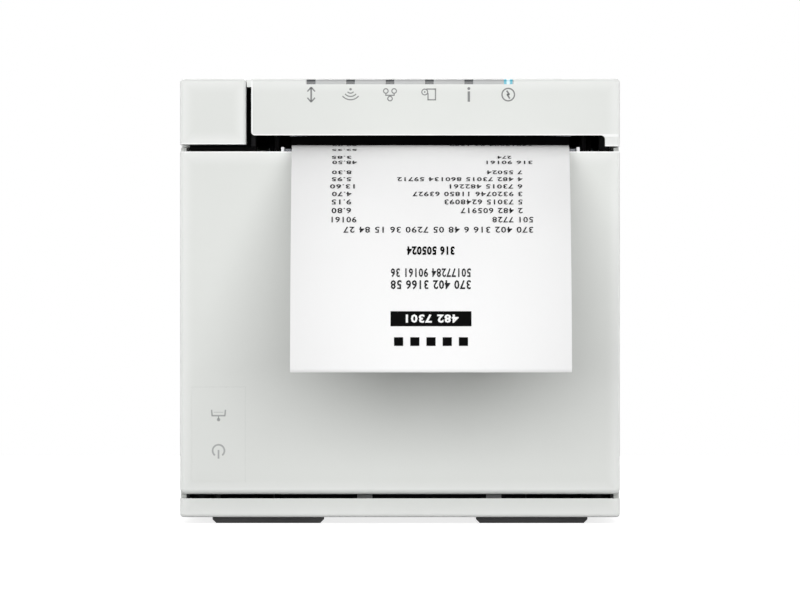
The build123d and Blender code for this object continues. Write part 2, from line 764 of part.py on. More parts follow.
save("print_head", print_head())
save("heat_sink", heat_sink())
save("head_shaft", rod_x(pivot_y, pivot_z, shaft_r, frame_left - frame_t, frame_right + frame_t))
save("head_bracket", head_bracket())
save("head_springs", *[coil_z(x, spring_y, spring_r, spring_wire_r, seat_z + 0.05, bracket_z - 0.05, 4)
                       for x in spring_xs])

# ---------------------------------------------------------------- side frames and roll bucket
slot_r = shaft_r + 0.7
frame_front = platen_y - 3.0
board_top = board_z + board_t
frame_notch_y = board_ys[0] - 4.0


def side_frame(x0, extra):
    outline = [
        (frame_front, frame_top),
        (frame_front, low + 16),
        (frame_front + 8, low + tray_floor_t),
        (frame_notch_y, low + tray_floor_t),
        (frame_notch_y, board_top + 15),
        (roll_y + bucket_r, board_top + 19),
        (roll_y + bucket_r, bucket_z + 30),
        (roll_y + 20, bucket_z + bucket_r + bucket_t + 1),
        (lock_y + 10, frame_top),
    ]
    plate = plate_x(outline, x0, x0 + frame_t)
    a, b = x0 - 1, x0 + frame_t + 1
    plate -= rod_x(platen_y, platen_z, slot_r, a, b)
    plate -= block(a, b, frame_front - 1, platen_y, platen_z - slot_r, platen_z + slot_r)
    plate -= rod_x(lock_y, lock_z, shaft_r + running, a, b)
    plate -= rod_x(pivot_y, pivot_z, shaft_r, a, b)
    for y, z, r in extra:
        plate -= rod_x(y, z, r, a, b)
    return plate


motor_holes = [(*turned((motor_y + standoff_reach, motor_z), (motor_y, motor_z), a), screw_r)
               for a in standoff_angles]
save("left_frame", side_frame(frame_left - frame_t, [(idler_y, idler_z, shaft_r), *motor_holes,
                                                     (roll_y, roll_z, core_bore_r)]))
save("right_frame", side_frame(frame_right, [(roll_y, roll_z, core_bore_r)]))


def roll_bucket():
    trough = rod_x(roll_y, bucket_z, bucket_r + bucket_t, frame_left, frame_right)
    trough -= rod_x(roll_y, bucket_z, bucket_r, left, right)
    reach = 2 * bucket_r
    wedge = [(roll_y, bucket_z)]
    for angle in (-140, -85, -30, 25, 75):
        turn = math.radians(angle)
        wedge.append((roll_y + reach * math.cos(turn), bucket_z + reach * math.sin(turn)))
    return trough & plate_x(wedge, left, right)


save("roll_bucket", roll_bucket())

# ---------------------------------------------------------------- lock shaft and hooks
hook_front = platen_y - shaft_r - 0.2
hook_tip = platen_z - 0.6


def lock_hooks():
    outline = [
        (lock_y - 2.4, lock_z + 2.6),
        (hook_front - 3.4, platen_z + 6.5),
        (hook_front - 3.4, hook_tip),
        (hook_front, hook_tip),
        (hook_front, platen_z + 3.9),
        (lock_y + 1.4, lock_z - 3.2),
    ]
    hooks = []
    for x0 in (frame_left - frame_t - 0.2 - hook_t, frame_right + frame_t + 0.2):
        hook = plate_x(outline, x0, x0 + hook_t) + rod_x(lock_y, lock_z, 3.5, x0, x0 + hook_t)
        hooks.append(hook - rod_x(lock_y, lock_z, shaft_r, left, right))
    return hooks


def lock_lever():
    x0, x1 = stem_x - stem_w / 2 - 0.5, stem_x + stem_w / 2 + 0.5
    lever = block(x0, x1, lock_y - 1.5, lock_y + 1.0, lock_z, stem_z + 1.0)
    return lever + rod_x(lock_y, lock_z, 3.0, x0, x1) - rod_x(lock_y, lock_z, shaft_r, left, right)


save("lock_shaft", rod_x(lock_y, lock_z, shaft_r, stem_x - stem_w / 2 - 1,
                         frame_right + frame_t + 0.2 + hook_t))
save("lock_hooks", *lock_hooks())
save("lock_lever", lock_lever())

# ---------------------------------------------------------------- cutter
blade_low = strip_low - 0.2
blade_back = blade_front + cutter_t
plate_y = blade_back + 0.3
pinion_r = cutter_module * cutter_teeth / 2
cutter_y = plate_y + 1.0 + cutter_motor_r + 0.6
cutter_z = blade_low + 7.6
cutter_top = blade_low + cutter_h + 2.0
rack_line = cutter_y - pinion_r
rack_x0, rack_x1 = paper_right - 4.5, paper_right - 1.5


def cutter_blade():
    """Moving blade with a shallow V edge and the rack on its back."""
    x0, x1 = inner_left + 1.6, inner_right - 1.6
    edge = Plane.XZ.offset(-blade_back) * Polyline(
        (x0, blade_low), ((x0 + x1) / 2, blade_low + 1.6), (x1, blade_low), (x1, blade_low + cutter_h),
        (x0, blade_low + cutter_h), close=True)
    blade = extrude(make_face(edge), amount=cutter_t)
    pitch = math.pi * cutter_module
    lean = math.tan(math.radians(20))
    tip, root = 0.85 * cutter_module, 1.05 * cutter_module
    half = pitch / 4 - 0.04
    count = math.ceil((cutter_travel + 2) / pitch)
    outline = [(blade_back - 0.4, cutter_z - 1.5 * pitch), (rack_line - root, cutter_z - 1.5 * pitch)]
    for k in range(-1, count):
        z = cutter_z + (k + 0.5) * pitch
        outline += [(rack_line - root, z - half - root * lean), (rack_line + tip, z - half + tip * lean)]
        outline += [(rack_line + tip, z + half - tip * lean), (rack_line - root, z + half + root * lean)]
    end = cutter_z + count * pitch
    outline += [(rack_line - root, end), (blade_back - 0.4, end)]
    return blade + plate_x(outline, rack_x0, rack_x1)


def cutter_frame():
    plate = block(frame_left, frame_right, plate_y, plate_y + 1.0, strip_low, cutter_top)
    plate -= block(rack_x0 - 0.5, rack_x1 + 0.5, plate_y - 1, plate_y + 2, strip_low + 0.4, top)
    for x0 in (inner_left + 0.2, inner_right - 1.3):
        plate += block(x0, x0 + 1.1, blade_front - 0.3, plate_y + 0.5, strip_low, cutter_top)
    mount_x = rack_x0 - 3.0
    plate += block(mount_x - 1.0, mount_x, plate_y, cutter_y + cutter_motor_r, strip_low + 4, cutter_top)
    plate -= rod_x(cutter_y, cutter_z, 1.6, mount_x - 2, mount_x + 1)
    for x0 in (frame_left, frame_right - 1.2):
        plate += block(x0, x0 + 1.2, plate_y, frame_front + 3, strip_low + 1.0, strip_low + 8)
    return plate


def cutter_motor():
    x1 = rack_x0 - 4.0
    body = rod_x(cutter_y, cutter_z, cutter_motor_r, x1 - 20, x1)
    return body - rod_x(cutter_y, cutter_z, 0.6 + running, x1 - 5, x1 + 1)


def cutter_pinion():
    gear = gear_x(cutter_y, cutter_z, cutter_teeth, cutter_module, 180, rack_x0 - 0.2, rack_x1 + 0.2, 0.5)
    return gear + rod_x(cutter_y, cutter_z, 0.6, rack_x0 - 4.0 - 4.5, rack_x1 + 0.2)


save("cutter_blade", cutter_blade())
save("cutter_frame", cutter_frame())
save("cutter_motor", cutter_motor())
save("cutter_pinion", cutter_pinion())

# ---------------------------------------------------------------- paper
save("paper_roll", rod_x(roll_y, roll_z, roll_r, paper_left, paper_right)
     - rod_x(roll_y, roll_z, core_r, left, right))
save("roll_core", rod_x(roll_y, roll_z, core_r, paper_left, paper_right)
     - rod_x(roll_y, roll_z, core_bore_r, left, right))


def receipt_paper():
    """One strip: from the roll, past the print head, over the front edge and down in front."""
    out = platen_path_r + paper_t / 2
    start = (roll_y + (roll_path_r + paper_t / 2) * normal_y, roll_z + (roll_path_r + paper_t / 2) * normal_z)
    point = (platen_y + out * normal_y, platen_z + out * normal_z)
    path = [Line((0, *start), (0, *point))]
    slope = rise
    for radius, turn in ((crest_r, rise), *receipt_bends):
        centre = (point[0] - radius * math.sin(math.radians(slope)),
                  point[1] - radius * math.cos(math.radians(slope)))
        middle = turned(point, centre, turn / 2)
        end = turned(point, centre, turn)
        path.append(ThreePointArc((0, *point), (0, *middle), (0, *end)))
        point = end
        slope -= turn
    line = Wire([edge for piece in path for edge in piece.edges()])
    across = Plane(origin=(0, *start), x_dir=(1, 0, 0), z_dir=(0, along_y, along_z))
    strip = sweep(across * Rectangle(paper_w, paper_t), path=line)
    return Pos(paper_x, 0, 0) * strip


save("receipt_paper", receipt_paper())

# ---------------------------------------------------------------- main board and sockets


def main_board():
    board = block(-47, 47, board_ys[0] - 3, bay_y - 1.6, board_z, board_z + board_t)
    for x in board_xs:
        for y in board_ys:
            board -= rod_z(x, y, 1.1, board_z - 1, board_z + board_t + 1)
    return board


def board_screws():
    screws = []
    for x in board_xs:
        for y in board_ys:
            screw = rod_z(x, y, 0.9, low + tray_floor_t + 1, board_top)
            screws.append(screw + rod_z(x, y, 2.0, board_top, board_top + 1.2))
    return screws


def board_parts():
    """The processor, two drivers and three capacitors."""
    y = socket_y - socket_len - 1.0
    chips = [block(-8, 6, y - 15, y - 1, board_top, board_top + 1.4)]
    chips += [block(x - 3, x + 3, y - 9, y - 1, board_top, board_top + 1.6) for x in (18.0, 28.0)]
    chips += [rod_z(x, y - 4, 3.2, board_top, board_top + 5.0) for x in (-33.0, -25.0, -17.0)]
    return chips


def socket(name):
    x, w, h = sockets[name]
    z0 = board_top
    body = block(x - w / 2, x + w / 2, socket_y - socket_len, socket_y, z0, z0 + h)
    if name == "power_inlet":
        body -= rod_y(x, z0 + h / 2, 5.0, socket_y - 9, socket_y + 1)
        for angle in (90, 210, 330):
            turn = math.radians(angle)
            pin = rod_y(x + 2.6 * math.cos(turn), z0 + h / 2 + 2.6 * math.sin(turn), 0.6, socket_y - 10,
                        socket_y - 3)
            body += pin
        return body
    body -= block(x - w / 2 + 1.2, x + w / 2 - 1.2, socket_y - 11, socket_y + 1, z0 + 1.2, z0 + h - 1.2)
    if name in ("network_socket", "drawer_socket"):
        body += block(x - w / 2 + 2.4, x + w / 2 - 2.4, socket_y - 12, socket_y - 8, z0 + 1.0, z0 + 3.2)
    if name == "usb_b_socket":
        body += block(x - 2.6, x + 2.6, socket_y - 12, socket_y - 1.5, z0 + h / 2 - 1.6, z0 + h / 2 + 1.6)
    if name == "usb_a_socket":
        body += block(x - w / 2 + 1.0, x - w / 2 + 2.4, socket_y - 12, socket_y - 1.5, z0 + 2.0, z0 + h - 2.0)
    return body


save("main_board", main_board())
save("board_screws", *board_screws())
save("board_parts", *board_parts())
for socket_name in sockets:
    save(socket_name, socket(socket_name))
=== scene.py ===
# %% [markdown]
# # A receipt printer, from bare solids to finished surfaces
# The printer arrives as a imported model: every moulding, shaft, gear and board already has its true size and
# place. This lesson keeps those solids and gives each one a surface, then models the few things that solids
# can't give: the paper with its print, the springs and the marks on the casing.

# %% Load the frame
import json
import math

import bmesh
import bpy
from mathutils import Matrix, Vector


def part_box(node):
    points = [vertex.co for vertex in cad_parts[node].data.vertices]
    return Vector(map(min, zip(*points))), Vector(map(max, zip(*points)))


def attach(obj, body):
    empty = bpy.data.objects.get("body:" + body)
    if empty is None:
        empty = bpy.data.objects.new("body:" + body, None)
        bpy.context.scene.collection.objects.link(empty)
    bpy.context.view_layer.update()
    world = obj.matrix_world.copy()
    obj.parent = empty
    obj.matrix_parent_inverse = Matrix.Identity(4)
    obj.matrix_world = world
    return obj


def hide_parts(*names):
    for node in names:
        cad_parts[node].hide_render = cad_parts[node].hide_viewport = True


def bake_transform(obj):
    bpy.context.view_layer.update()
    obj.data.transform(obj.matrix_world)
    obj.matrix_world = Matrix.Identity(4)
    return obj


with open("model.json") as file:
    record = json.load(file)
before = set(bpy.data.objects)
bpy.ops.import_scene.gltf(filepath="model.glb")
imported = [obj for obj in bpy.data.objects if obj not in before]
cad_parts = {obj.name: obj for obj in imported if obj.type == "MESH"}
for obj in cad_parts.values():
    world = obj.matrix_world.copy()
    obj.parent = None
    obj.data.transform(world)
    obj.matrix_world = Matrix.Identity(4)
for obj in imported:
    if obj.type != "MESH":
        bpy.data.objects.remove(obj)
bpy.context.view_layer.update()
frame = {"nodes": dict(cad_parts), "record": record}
MM = 0.001

# %% [markdown]
# ## Camera
# The printer is shown square to its front from some way off, so that no side or top shows. A long lens
# under three metres off gives that view with very little perspective. The lens length sets how wide the
# casing stands in the picture, and the camera's height puts its middle in the middle.

# %% Camera
front_low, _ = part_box("front_cover")
camera_data = bpy.data.cameras.new("camera")
camera_distance = 2.7
camera_data.lens = 420.8
camera_data.clip_end = 60.0
camera = bpy.data.objects.new("camera", camera_data)
camera.location = (0.0, front_low.y - camera_distance, 0.0645)
camera.rotation_euler = (math.radians(90), 0.0, 0.0)
bpy.context.scene.collection.objects.link(camera)
bpy.context.scene.camera = camera
bpy.context.scene.view_settings.view_transform = "Standard"
print("camera", tuple(round(v, 3) for v in camera.location))

# %% [markdown]
# ## Helpers for node trees
# A finish is a small network of nodes. These helpers add a node with its settings in one line, so that what
# follows reads as a recipe. Colours are written as they look on a screen, from 0 to 255, and turned into
# the linear numbers that Blender works in.


# %% Node helpers
def tint(red, green, blue):
    """A screen colour as linear RGBA."""
    linear = []
    for value in (red / 255, green / 255, blue / 255):
        linear.append(value / 12.92 if value <= 0.04045 else ((value + 0.055) / 1.055) ** 2.4)
    return (*linear, 1.0)


def put(tree, kind, values=None, **settings):
    """A new shader node with its settings and the values of its inputs."""
    node = tree.nodes.new("ShaderNode" + kind)
    for key, value in settings.items():
        setattr(node, key, value)
    for key, value in (values or {}).items():
        node.inputs[key].default_value = value
    return node


def sums(tree, operation, first, second):
    """A Math node on two sockets or numbers."""
    node = put(tree, "Math", operation=operation)
    for place, value in enumerate((first, second)):
        if isinstance(value, (int, float)):
            node.inputs[place].default_value = value
        else:
            tree.links.new(value, node.inputs[place])
    return node.outputs[0]


def spread(tree, value, low, high, to_low=0.0, to_high=1.0):
    """A Map Range node that eases from one range to another and stops at its ends."""
    node = put(tree, "MapRange", {"From Min": low, "From Max": high, "To Min": to_low, "To Max": to_high},
               interpolation_type="SMOOTHSTEP")
    tree.links.new(value, node.inputs["Value"])
    return node.outputs["Result"]


def blend_colour(tree, share, first, second):
    """A colour mix of two sockets or colours."""
    node = put(tree, "Mix", data_type="RGBA")
    tree.links.new(share, node.inputs[0])
    for place, value in ((6, first), (7, second)):
        if isinstance(value, tuple):
            node.inputs[place].default_value = value
        else:
            tree.links.new(value, node.inputs[place])
    return node.outputs[2]


def new_effect(name, inputs):
    """A shader node group with a colour, a roughness and a height to give."""
    tree = bpy.data.node_groups.new(name, "ShaderNodeTree")
    kinds = {1: "NodeSocketFloat", 3: "NodeSocketVector", 4: "NodeSocketColor"}
    for label, value in inputs.items():
        width = 1 if isinstance(value, float) else len(value)
        socket = tree.interface.new_socket(label, in_out="INPUT", socket_type=kinds[width])
        socket.default_value = value
    for label, width in (("Colour", 4), ("Roughness", 1), ("Height", 1)):
        tree.interface.new_socket(label, in_out="OUTPUT", socket_type=kinds[width])
    given = tree.nodes.new("NodeGroupInput")
    made = tree.nodes.new("NodeGroupOutput")
    place = put(tree, "TexCoord").outputs["Object"]
    return tree, given.outputs, made.inputs, place


def close_effect(tree, made, colour, roughness, height):
    """Joins the three results to the group's output."""
    for label, socket in (("Colour", colour), ("Roughness", roughness), ("Height", height)):
        tree.links.new(socket, made[label])
    print("effect", tree.name, len(tree.nodes), "nodes")
    return tree


def grain(tree, place, per_metre, detail=3.0):
    """Noise read from the piece's own coordinates."""
    noise = put(tree, "TexNoise", {"Scale": per_metre, "Detail": detail, "Roughness": 0.55})
    tree.links.new(place, noise.inputs["Vector"])
    return noise.outputs["Fac"]


# %% [markdown]
# ## Moulded plastic
# The casing is injection moulded in a tool with a fine spark texture, so it is satin rather than glossy. A
# very fine noise gives that texture, and a wide, soft one lets the tone drift a little as thick plastic
# does. It is a group, because the casing, the keys and every dark inner moulding use it with their own
# colours.

# %% Moulded plastic
moulded, given, made, place = new_effect(
    "moulded grain", {"Colour": (0.8, 0.8, 0.8, 1.0), "Shade": (0.7, 0.7, 0.7, 1.0), "Satin": 0.5})
fine = grain(moulded, place, 5200.0, 2.0)
broad = grain(moulded, place, 22.0, 2.0)
toned = blend_colour(moulded, spread(moulded, broad, 0.35, 0.65), given["Colour"], given["Shade"])
roughening = sums(moulded, "MULTIPLY", sums(moulded, "SUBTRACT", fine, 0.5), 0.25)
rough = sums(moulded, "ADD", given["Satin"], roughening)
close_effect(moulded, made, toned, rough, fine)

# %% [markdown]
# ## Painted edge highlights and a painted dark inside
# The outer shells have crisp edges that are painted a touch brighter, a painted highlight for their small
# radius, and the plastic beside them is painted a shade lighter. Inside, the shells are painted dark, a
# painted shade that makes the gaps between them read black. Both depend only on how far a point is from the
# faces of the shell's own box, so one group measures that.


# %% Shell effect
def nearest_faces(tree, place, low, high):
    """How far each axis is from the nearer of the box's two faces."""
    sides = []
    for corner in (low, high):
        away = put(tree, "VectorMath", operation="SUBTRACT")
        tree.links.new(place, away.inputs[0])
        tree.links.new(corner, away.inputs[1])
        plain = put(tree, "VectorMath", operation="ABSOLUTE")
        tree.links.new(away.outputs[0], plain.inputs[0])
        sides.append(plain.outputs[0])
    nearer = put(tree, "VectorMath", operation="MINIMUM")
    tree.links.new(sides[0], nearer.inputs[0])
    tree.links.new(sides[1], nearer.inputs[1])
    parts = put(tree, "SeparateXYZ")
    tree.links.new(nearer.outputs[0], parts.inputs[0])
    return parts.outputs


shell, given, made, place = new_effect(
    "outer shell", {"Colour": (0.8, 0.8, 0.8, 1.0), "Shade": (0.7, 0.7, 0.7, 1.0),
                    "Edge": (0.9, 0.9, 0.9, 1.0), "Inside": (0.02, 0.02, 0.02, 1.0), "Satin": 0.5,
                    "Low": (0.0, 0.0, 0.0), "High": (1.0, 1.0, 1.0), "Lip": (9.0, 9.0, 9.0),
                    "Edge width": 0.0004, "Wall": 0.0016})
# Edge is a painted highlight colour, Inside a painted dark shade for what lies deeper than Wall
x, y, z = nearest_faces(shell, place, given["Low"], given["High"])
closest = sums(shell, "MINIMUM", sums(shell, "MINIMUM", x, y), z)
widest = sums(shell, "MAXIMUM", sums(shell, "MAXIMUM", x, y), z)
together = sums(shell, "ADD", sums(shell, "ADD", x, y), z)
second = sums(shell, "SUBTRACT", sums(shell, "SUBTRACT", together, closest), widest)
# painted highlight: a thin band along each edge of the shell's box
painted_edge_highlight = sums(shell, "LESS_THAN", second, given["Edge width"])
# the same painted highlight along the two edges of the lip
lip_parts = nearest_faces(shell, place, given["Lip"], given["Lip"])
lip_depth = 0.0003
in_front = sums(shell, "LESS_THAN", lip_parts[1], lip_depth)
along_lip = sums(shell, "MINIMUM", lip_parts[0], lip_parts[2])
painted_lip_highlight = sums(shell, "MULTIPLY", in_front, sums(shell, "LESS_THAN", along_lip, given["Edge width"]))
painted_edge_highlight = sums(shell, "MAXIMUM", painted_edge_highlight, painted_lip_highlight)
# painted shade: deeper than the wall the shell is painted near black, so its gaps read black
painted_dark_inside = sums(shell, "GREATER_THAN", closest, given["Wall"])
fine = grain(shell, place, 5200.0, 2.0)
broad = grain(shell, place, 16.0, 2.0)
toned = blend_colour(shell, spread(shell, broad, 0.35, 0.65), given["Colour"], given["Shade"])
# painted highlight: the plastic beside the edges painted a shade lighter
painted_sheen_by_edge = spread(shell, second, 0.0, 0.0045, 0.4, 0.0)
toned = blend_colour(shell, sums(shell, "MAXIMUM", painted_sheen_by_edge, painted_edge_highlight), toned, given["Edge"])
toned = blend_colour(shell, painted_dark_inside, toned, given["Inside"])
rough = sums(shell, "ADD", given["Satin"], sums(shell, "MULTIPLY", sums(shell, "SUBTRACT", fine, 0.5), 0.25))
close_effect(shell, made, toned, rough, fine)

# %% [markdown]
# ## Rolled, drawn and ground metal
# Sheet steel has fine lines along the way it was rolled, a shaft has them round it, and a motor can has
# them along its height. The same stretched noise makes all three, so the stretch is an input of the group.

# %% Metal
metal, given, made, place = new_effect(
    "worked metal", {"Colour": (0.6, 0.6, 0.6, 1.0), "Shade": (0.4, 0.4, 0.4, 1.0), "Satin": 0.35,
                     "Stretch": (1.0, 1.0, 1.0)})
slow = put(metal, "VectorMath", operation="MULTIPLY")
metal.links.new(place, slow.inputs[0])
metal.links.new(given["Stretch"], slow.inputs[1])
lines = grain(metal, slow.outputs[0], 2600.0, 4.0)
patches = grain(metal, place, 130.0, 3.0)
toned = blend_colour(metal, spread(metal, patches, 0.3, 0.7), given["Colour"], given["Shade"])
rough = sums(metal, "ADD", given["Satin"], sums(metal, "MULTIPLY", sums(metal, "SUBTRACT", lines, 0.5), 0.3))
close_effect(metal, made, toned, rough, lines)

# %% [markdown]
# ## Paper and card
# Thermal paper is smooth and very white, with a faint cloudiness from its fibres. The card of the roll's
# core is the same thing coarser and brown, so both come from one group with a different fibre size.

# %% Paper
fibre, given, made, place = new_effect(
    "fibre", {"Colour": (0.9, 0.9, 0.9, 1.0), "Shade": (0.8, 0.8, 0.8, 1.0), "Satin": 0.6, "Fibres": 900.0})
cloud = put(fibre, "TexNoise", {"Detail": 5.0, "Roughness": 0.6})
fibre.links.new(place, cloud.inputs["Vector"])
fibre.links.new(given["Fibres"], cloud.inputs["Scale"])
toned = blend_colour(fibre, spread(fibre, cloud.outputs["Fac"], 0.3, 0.7), given["Colour"], given["Shade"])
rough = sums(fibre, "ADD", given["Satin"], sums(fibre, "MULTIPLY", cloud.outputs["Fac"], 0.15))
close_effect(fibre, made, toned, rough, cloud.outputs["Fac"])

# %% [markdown]
# ## Wound layers
# Seen from its end, a roll of paper is hundreds of turns. Their lines are circles about the roll's axis, so
# the group measures the distance from that axis and lets a sine of it draw the turns, with a few darker
# ones where the winding tension changed.

# %% Wound layers
wound, given, made, place = new_effect(
    "wound layers", {"Colour": (0.9, 0.9, 0.9, 1.0), "Shade": (0.7, 0.7, 0.7, 1.0), "Satin": 0.7,
                     "Axis": (0.0, 0.0, 0.0), "Turns": 9000.0})
away = put(wound, "VectorMath", operation="SUBTRACT")
wound.links.new(place, away.inputs[0])
wound.links.new(given["Axis"], away.inputs[1])
flat = put(wound, "VectorMath", operation="MULTIPLY")
flat.inputs[1].default_value = (0.0, 1.0, 1.0)
wound.links.new(away.outputs[0], flat.inputs[0])
radius = put(wound, "VectorMath", operation="LENGTH")
wound.links.new(flat.outputs[0], radius.inputs[0])
turns = sums(wound, "SINE", sums(wound, "MULTIPLY", radius.outputs["Value"], given["Turns"]), 0.0)
bands = put(wound, "TexNoise", {"Scale": 1.0, "Detail": 4.0}, noise_dimensions="1D")
wound.links.new(sums(wound, "MULTIPLY", radius.outputs["Value"], 2400.0), bands.inputs["W"])
share = sums(wound, "ADD", sums(wound, "MULTIPLY", spread(wound, turns, -1.0, 1.0), 0.4),
             spread(wound, bands.outputs["Fac"], 0.5, 0.72, 0.0, 0.6))
toned = blend_colour(wound, share, given["Colour"], given["Shade"])
rough = sums(wound, "ADD", given["Satin"], sums(wound, "MULTIPLY", share, 0.1))
close_effect(wound, made, toned, rough, turns)

# %% [markdown]
# ## Circuit board
# Solder mask is a thin clear lacquer over copper, so tracks show as slightly lighter lines in the green.
# Cells measured with straight sides make a maze of such tracks, and a second, round pattern puts in the
# plated holes.

# %% Circuit board
board, given, made, place = new_effect(
    "solder mask", {"Colour": (0.02, 0.2, 0.08, 1.0), "Track": (0.05, 0.3, 0.12, 1.0),
                    "Pad": (0.7, 0.6, 0.35, 1.0), "Satin": 0.3})
cells = put(board, "TexVoronoi", {"Scale": 260.0, "Randomness": 0.85}, feature="DISTANCE_TO_EDGE")
board.links.new(place, cells.inputs["Vector"])
holes = put(board, "TexVoronoi", {"Scale": 330.0, "Randomness": 0.55}, feature="F1")
board.links.new(place, holes.inputs["Vector"])
track = sums(board, "LESS_THAN", cells.outputs["Distance"], 0.09)
pad = sums(board, "LESS_THAN", holes.outputs["Distance"], 0.13)
toned = blend_colour(board, track, given["Colour"], given["Track"])
toned = blend_colour(board, pad, toned, given["Pad"])
rough = sums(board, "ADD", given["Satin"], sums(board, "MULTIPLY", pad, 0.15))
close_effect(board, made, toned, rough, sums(board, "ADD", track, pad))


# %% [markdown]
# ## From effect to material
# A material is one shader with an effect in front of it. The effect varies over the surface, so it feeds
# colour, roughness and bump. What is the same all over, such as how metallic it is, is set on the shader
# itself.

# %% Material maker
def material(name, effect, values, bump=0.1, depth=0.00002, **fixed):
    """A material with one shader fed by one effect."""
    made_of = bpy.data.materials.new(name)
    made_of.use_nodes = True
    tree = made_of.node_tree
    shader = tree.nodes["Principled BSDF"]
    for key, value in fixed.items():
        shader.inputs[key.replace("_", " ")].default_value = value
    look = put(tree, "Group", node_tree=effect)
    for key, value in values.items():
        look.inputs[key].default_value = value
    relief = put(tree, "Bump", {"Strength": bump, "Distance": depth})
    tree.links.new(look.outputs["Colour"], shader.inputs["Base Color"])
    tree.links.new(look.outputs["Roughness"], shader.inputs["Roughness"])
    tree.links.new(look.outputs["Height"], relief.inputs["Height"])
    tree.links.new(relief.outputs["Normal"], shader.inputs["Normal"])
    return made_of


def tones(colour, shade, satin, **others):
    """The settings of a finish: two tones in levels of 0 to 255, its roughness and the rest."""
    return {"Colour": tint(*colour), "Shade": tint(*shade), "Satin": satin, **others}


def shell_material(name, low, high, colour=(216, 218, 215), shade=(214, 216, 213), lip=(9.0, 9.0, 9.0)):
    """White casing plastic for one shell, its box measured from the frame, with painted highlights and
    painted dark shade.
    """
    # Edge is a painted highlight, Inside a painted dark shade
    return material(name, shell, {"Colour": tint(*colour),
                                  "Shade": tint(*shade), "Edge": tint(238, 239, 238),
                                  "Inside": tint(9, 9, 9), "Satin": 0.55, "Low": low, "High": high,
                                  "Lip": lip}, bump=0.08, Specular_IOR_Level=0.3)


# %% [markdown]
# ## The white casing
# Tray, case, top cover, front cover, button and keys are all one white, each moulded separately. Each gets
# the shell effect with its own box, so that the painted edge highlights fall on its own edges. The top cover
# also has two edges inside its box, beside the button's gap and above the paper slot, and those are its lip,
# which gets the same painted highlight.

# %% Casing materials
shells = {}
for node in ("base_tray", "main_case", "front_cover", "open_button", "feed_key", "power_key"):
    low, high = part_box(node)
    if node == "main_case":                 # its front, top and bottom are covered, so they get the painted dark shade of the inside
        low, high = low - Vector((0.0, 1.0, 1.0)), high + Vector((0.0, 0.0, 1.0))
    shells[node] = shell_material("white_" + node, low, high)
_, button_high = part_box("open_button")
top_low, top_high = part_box("top_cover")
gap_beside_button = 1.45 * MM
strip_low = 112.05 * MM
shells["top_cover"] = shell_material(
    "white_top_cover", top_low, top_high, lip=(button_high.x + gap_beside_button, top_low.y, strip_low))
print("shells", len(shells))

# %% [markdown]
# ## Hinge posts in painted shade
# Two hinge posts stand up from the tray behind the gap under the front cover. They are left out of the
# painted dark inside and painted mid grey instead, a painted shade over their white plastic, so they show in
# that gap as two mid grey blocks. A mask across X picks them out in the tray's own material.

# %% Hinge posts
tray_tree = shells["base_tray"].node_tree
tray_shader = tray_tree.nodes["Principled BSDF"]
effect_colour = tray_shader.inputs["Base Color"].links[0].from_socket
tray_place = put(tray_tree, "SeparateXYZ")
tray_tree.links.new(put(tray_tree, "TexCoord").outputs["Object"], tray_place.inputs[0])
tray_low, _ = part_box("base_tray")
post_places = (-10.1 * MM, 27.3 * MM)
post_half = 2.4 * MM
behind = sums(tray_tree, "GREATER_THAN", tray_place.outputs[1], tray_low.y + 8 * MM)
beside = []
for post_x in post_places:
    from_post = sums(tray_tree, "SUBTRACT", tray_place.outputs[0], post_x)
    beside.append(sums(tray_tree, "LESS_THAN", sums(tray_tree, "ABSOLUTE", from_post, 0.0), post_half))
painted_post_shade = sums(tray_tree, "MULTIPLY", behind, sums(tray_tree, "MAXIMUM", *beside))
in_gap = sums(tray_tree, "LESS_THAN", tray_place.outputs[1], tray_low.y + 16 * MM)
painted_post_shade = sums(tray_tree, "MULTIPLY", painted_post_shade, in_gap)
# painted shade: the posts painted mid grey over the tray's white
tray_tree.links.new(blend_colour(tray_tree, painted_post_shade, effect_colour, tint(176, 176, 176)),
                    tray_shader.inputs["Base Color"])
print("posts masked", len(post_places))

# %% [markdown]
# ## Inner mouldings, rubber and metal
# Behind the casing everything is made to be unseen: dark plastic guides and bucket, black-coated sheet
# steel, a black anodised heat sink, a rubber roller, bright ground shafts and white acetal gears.

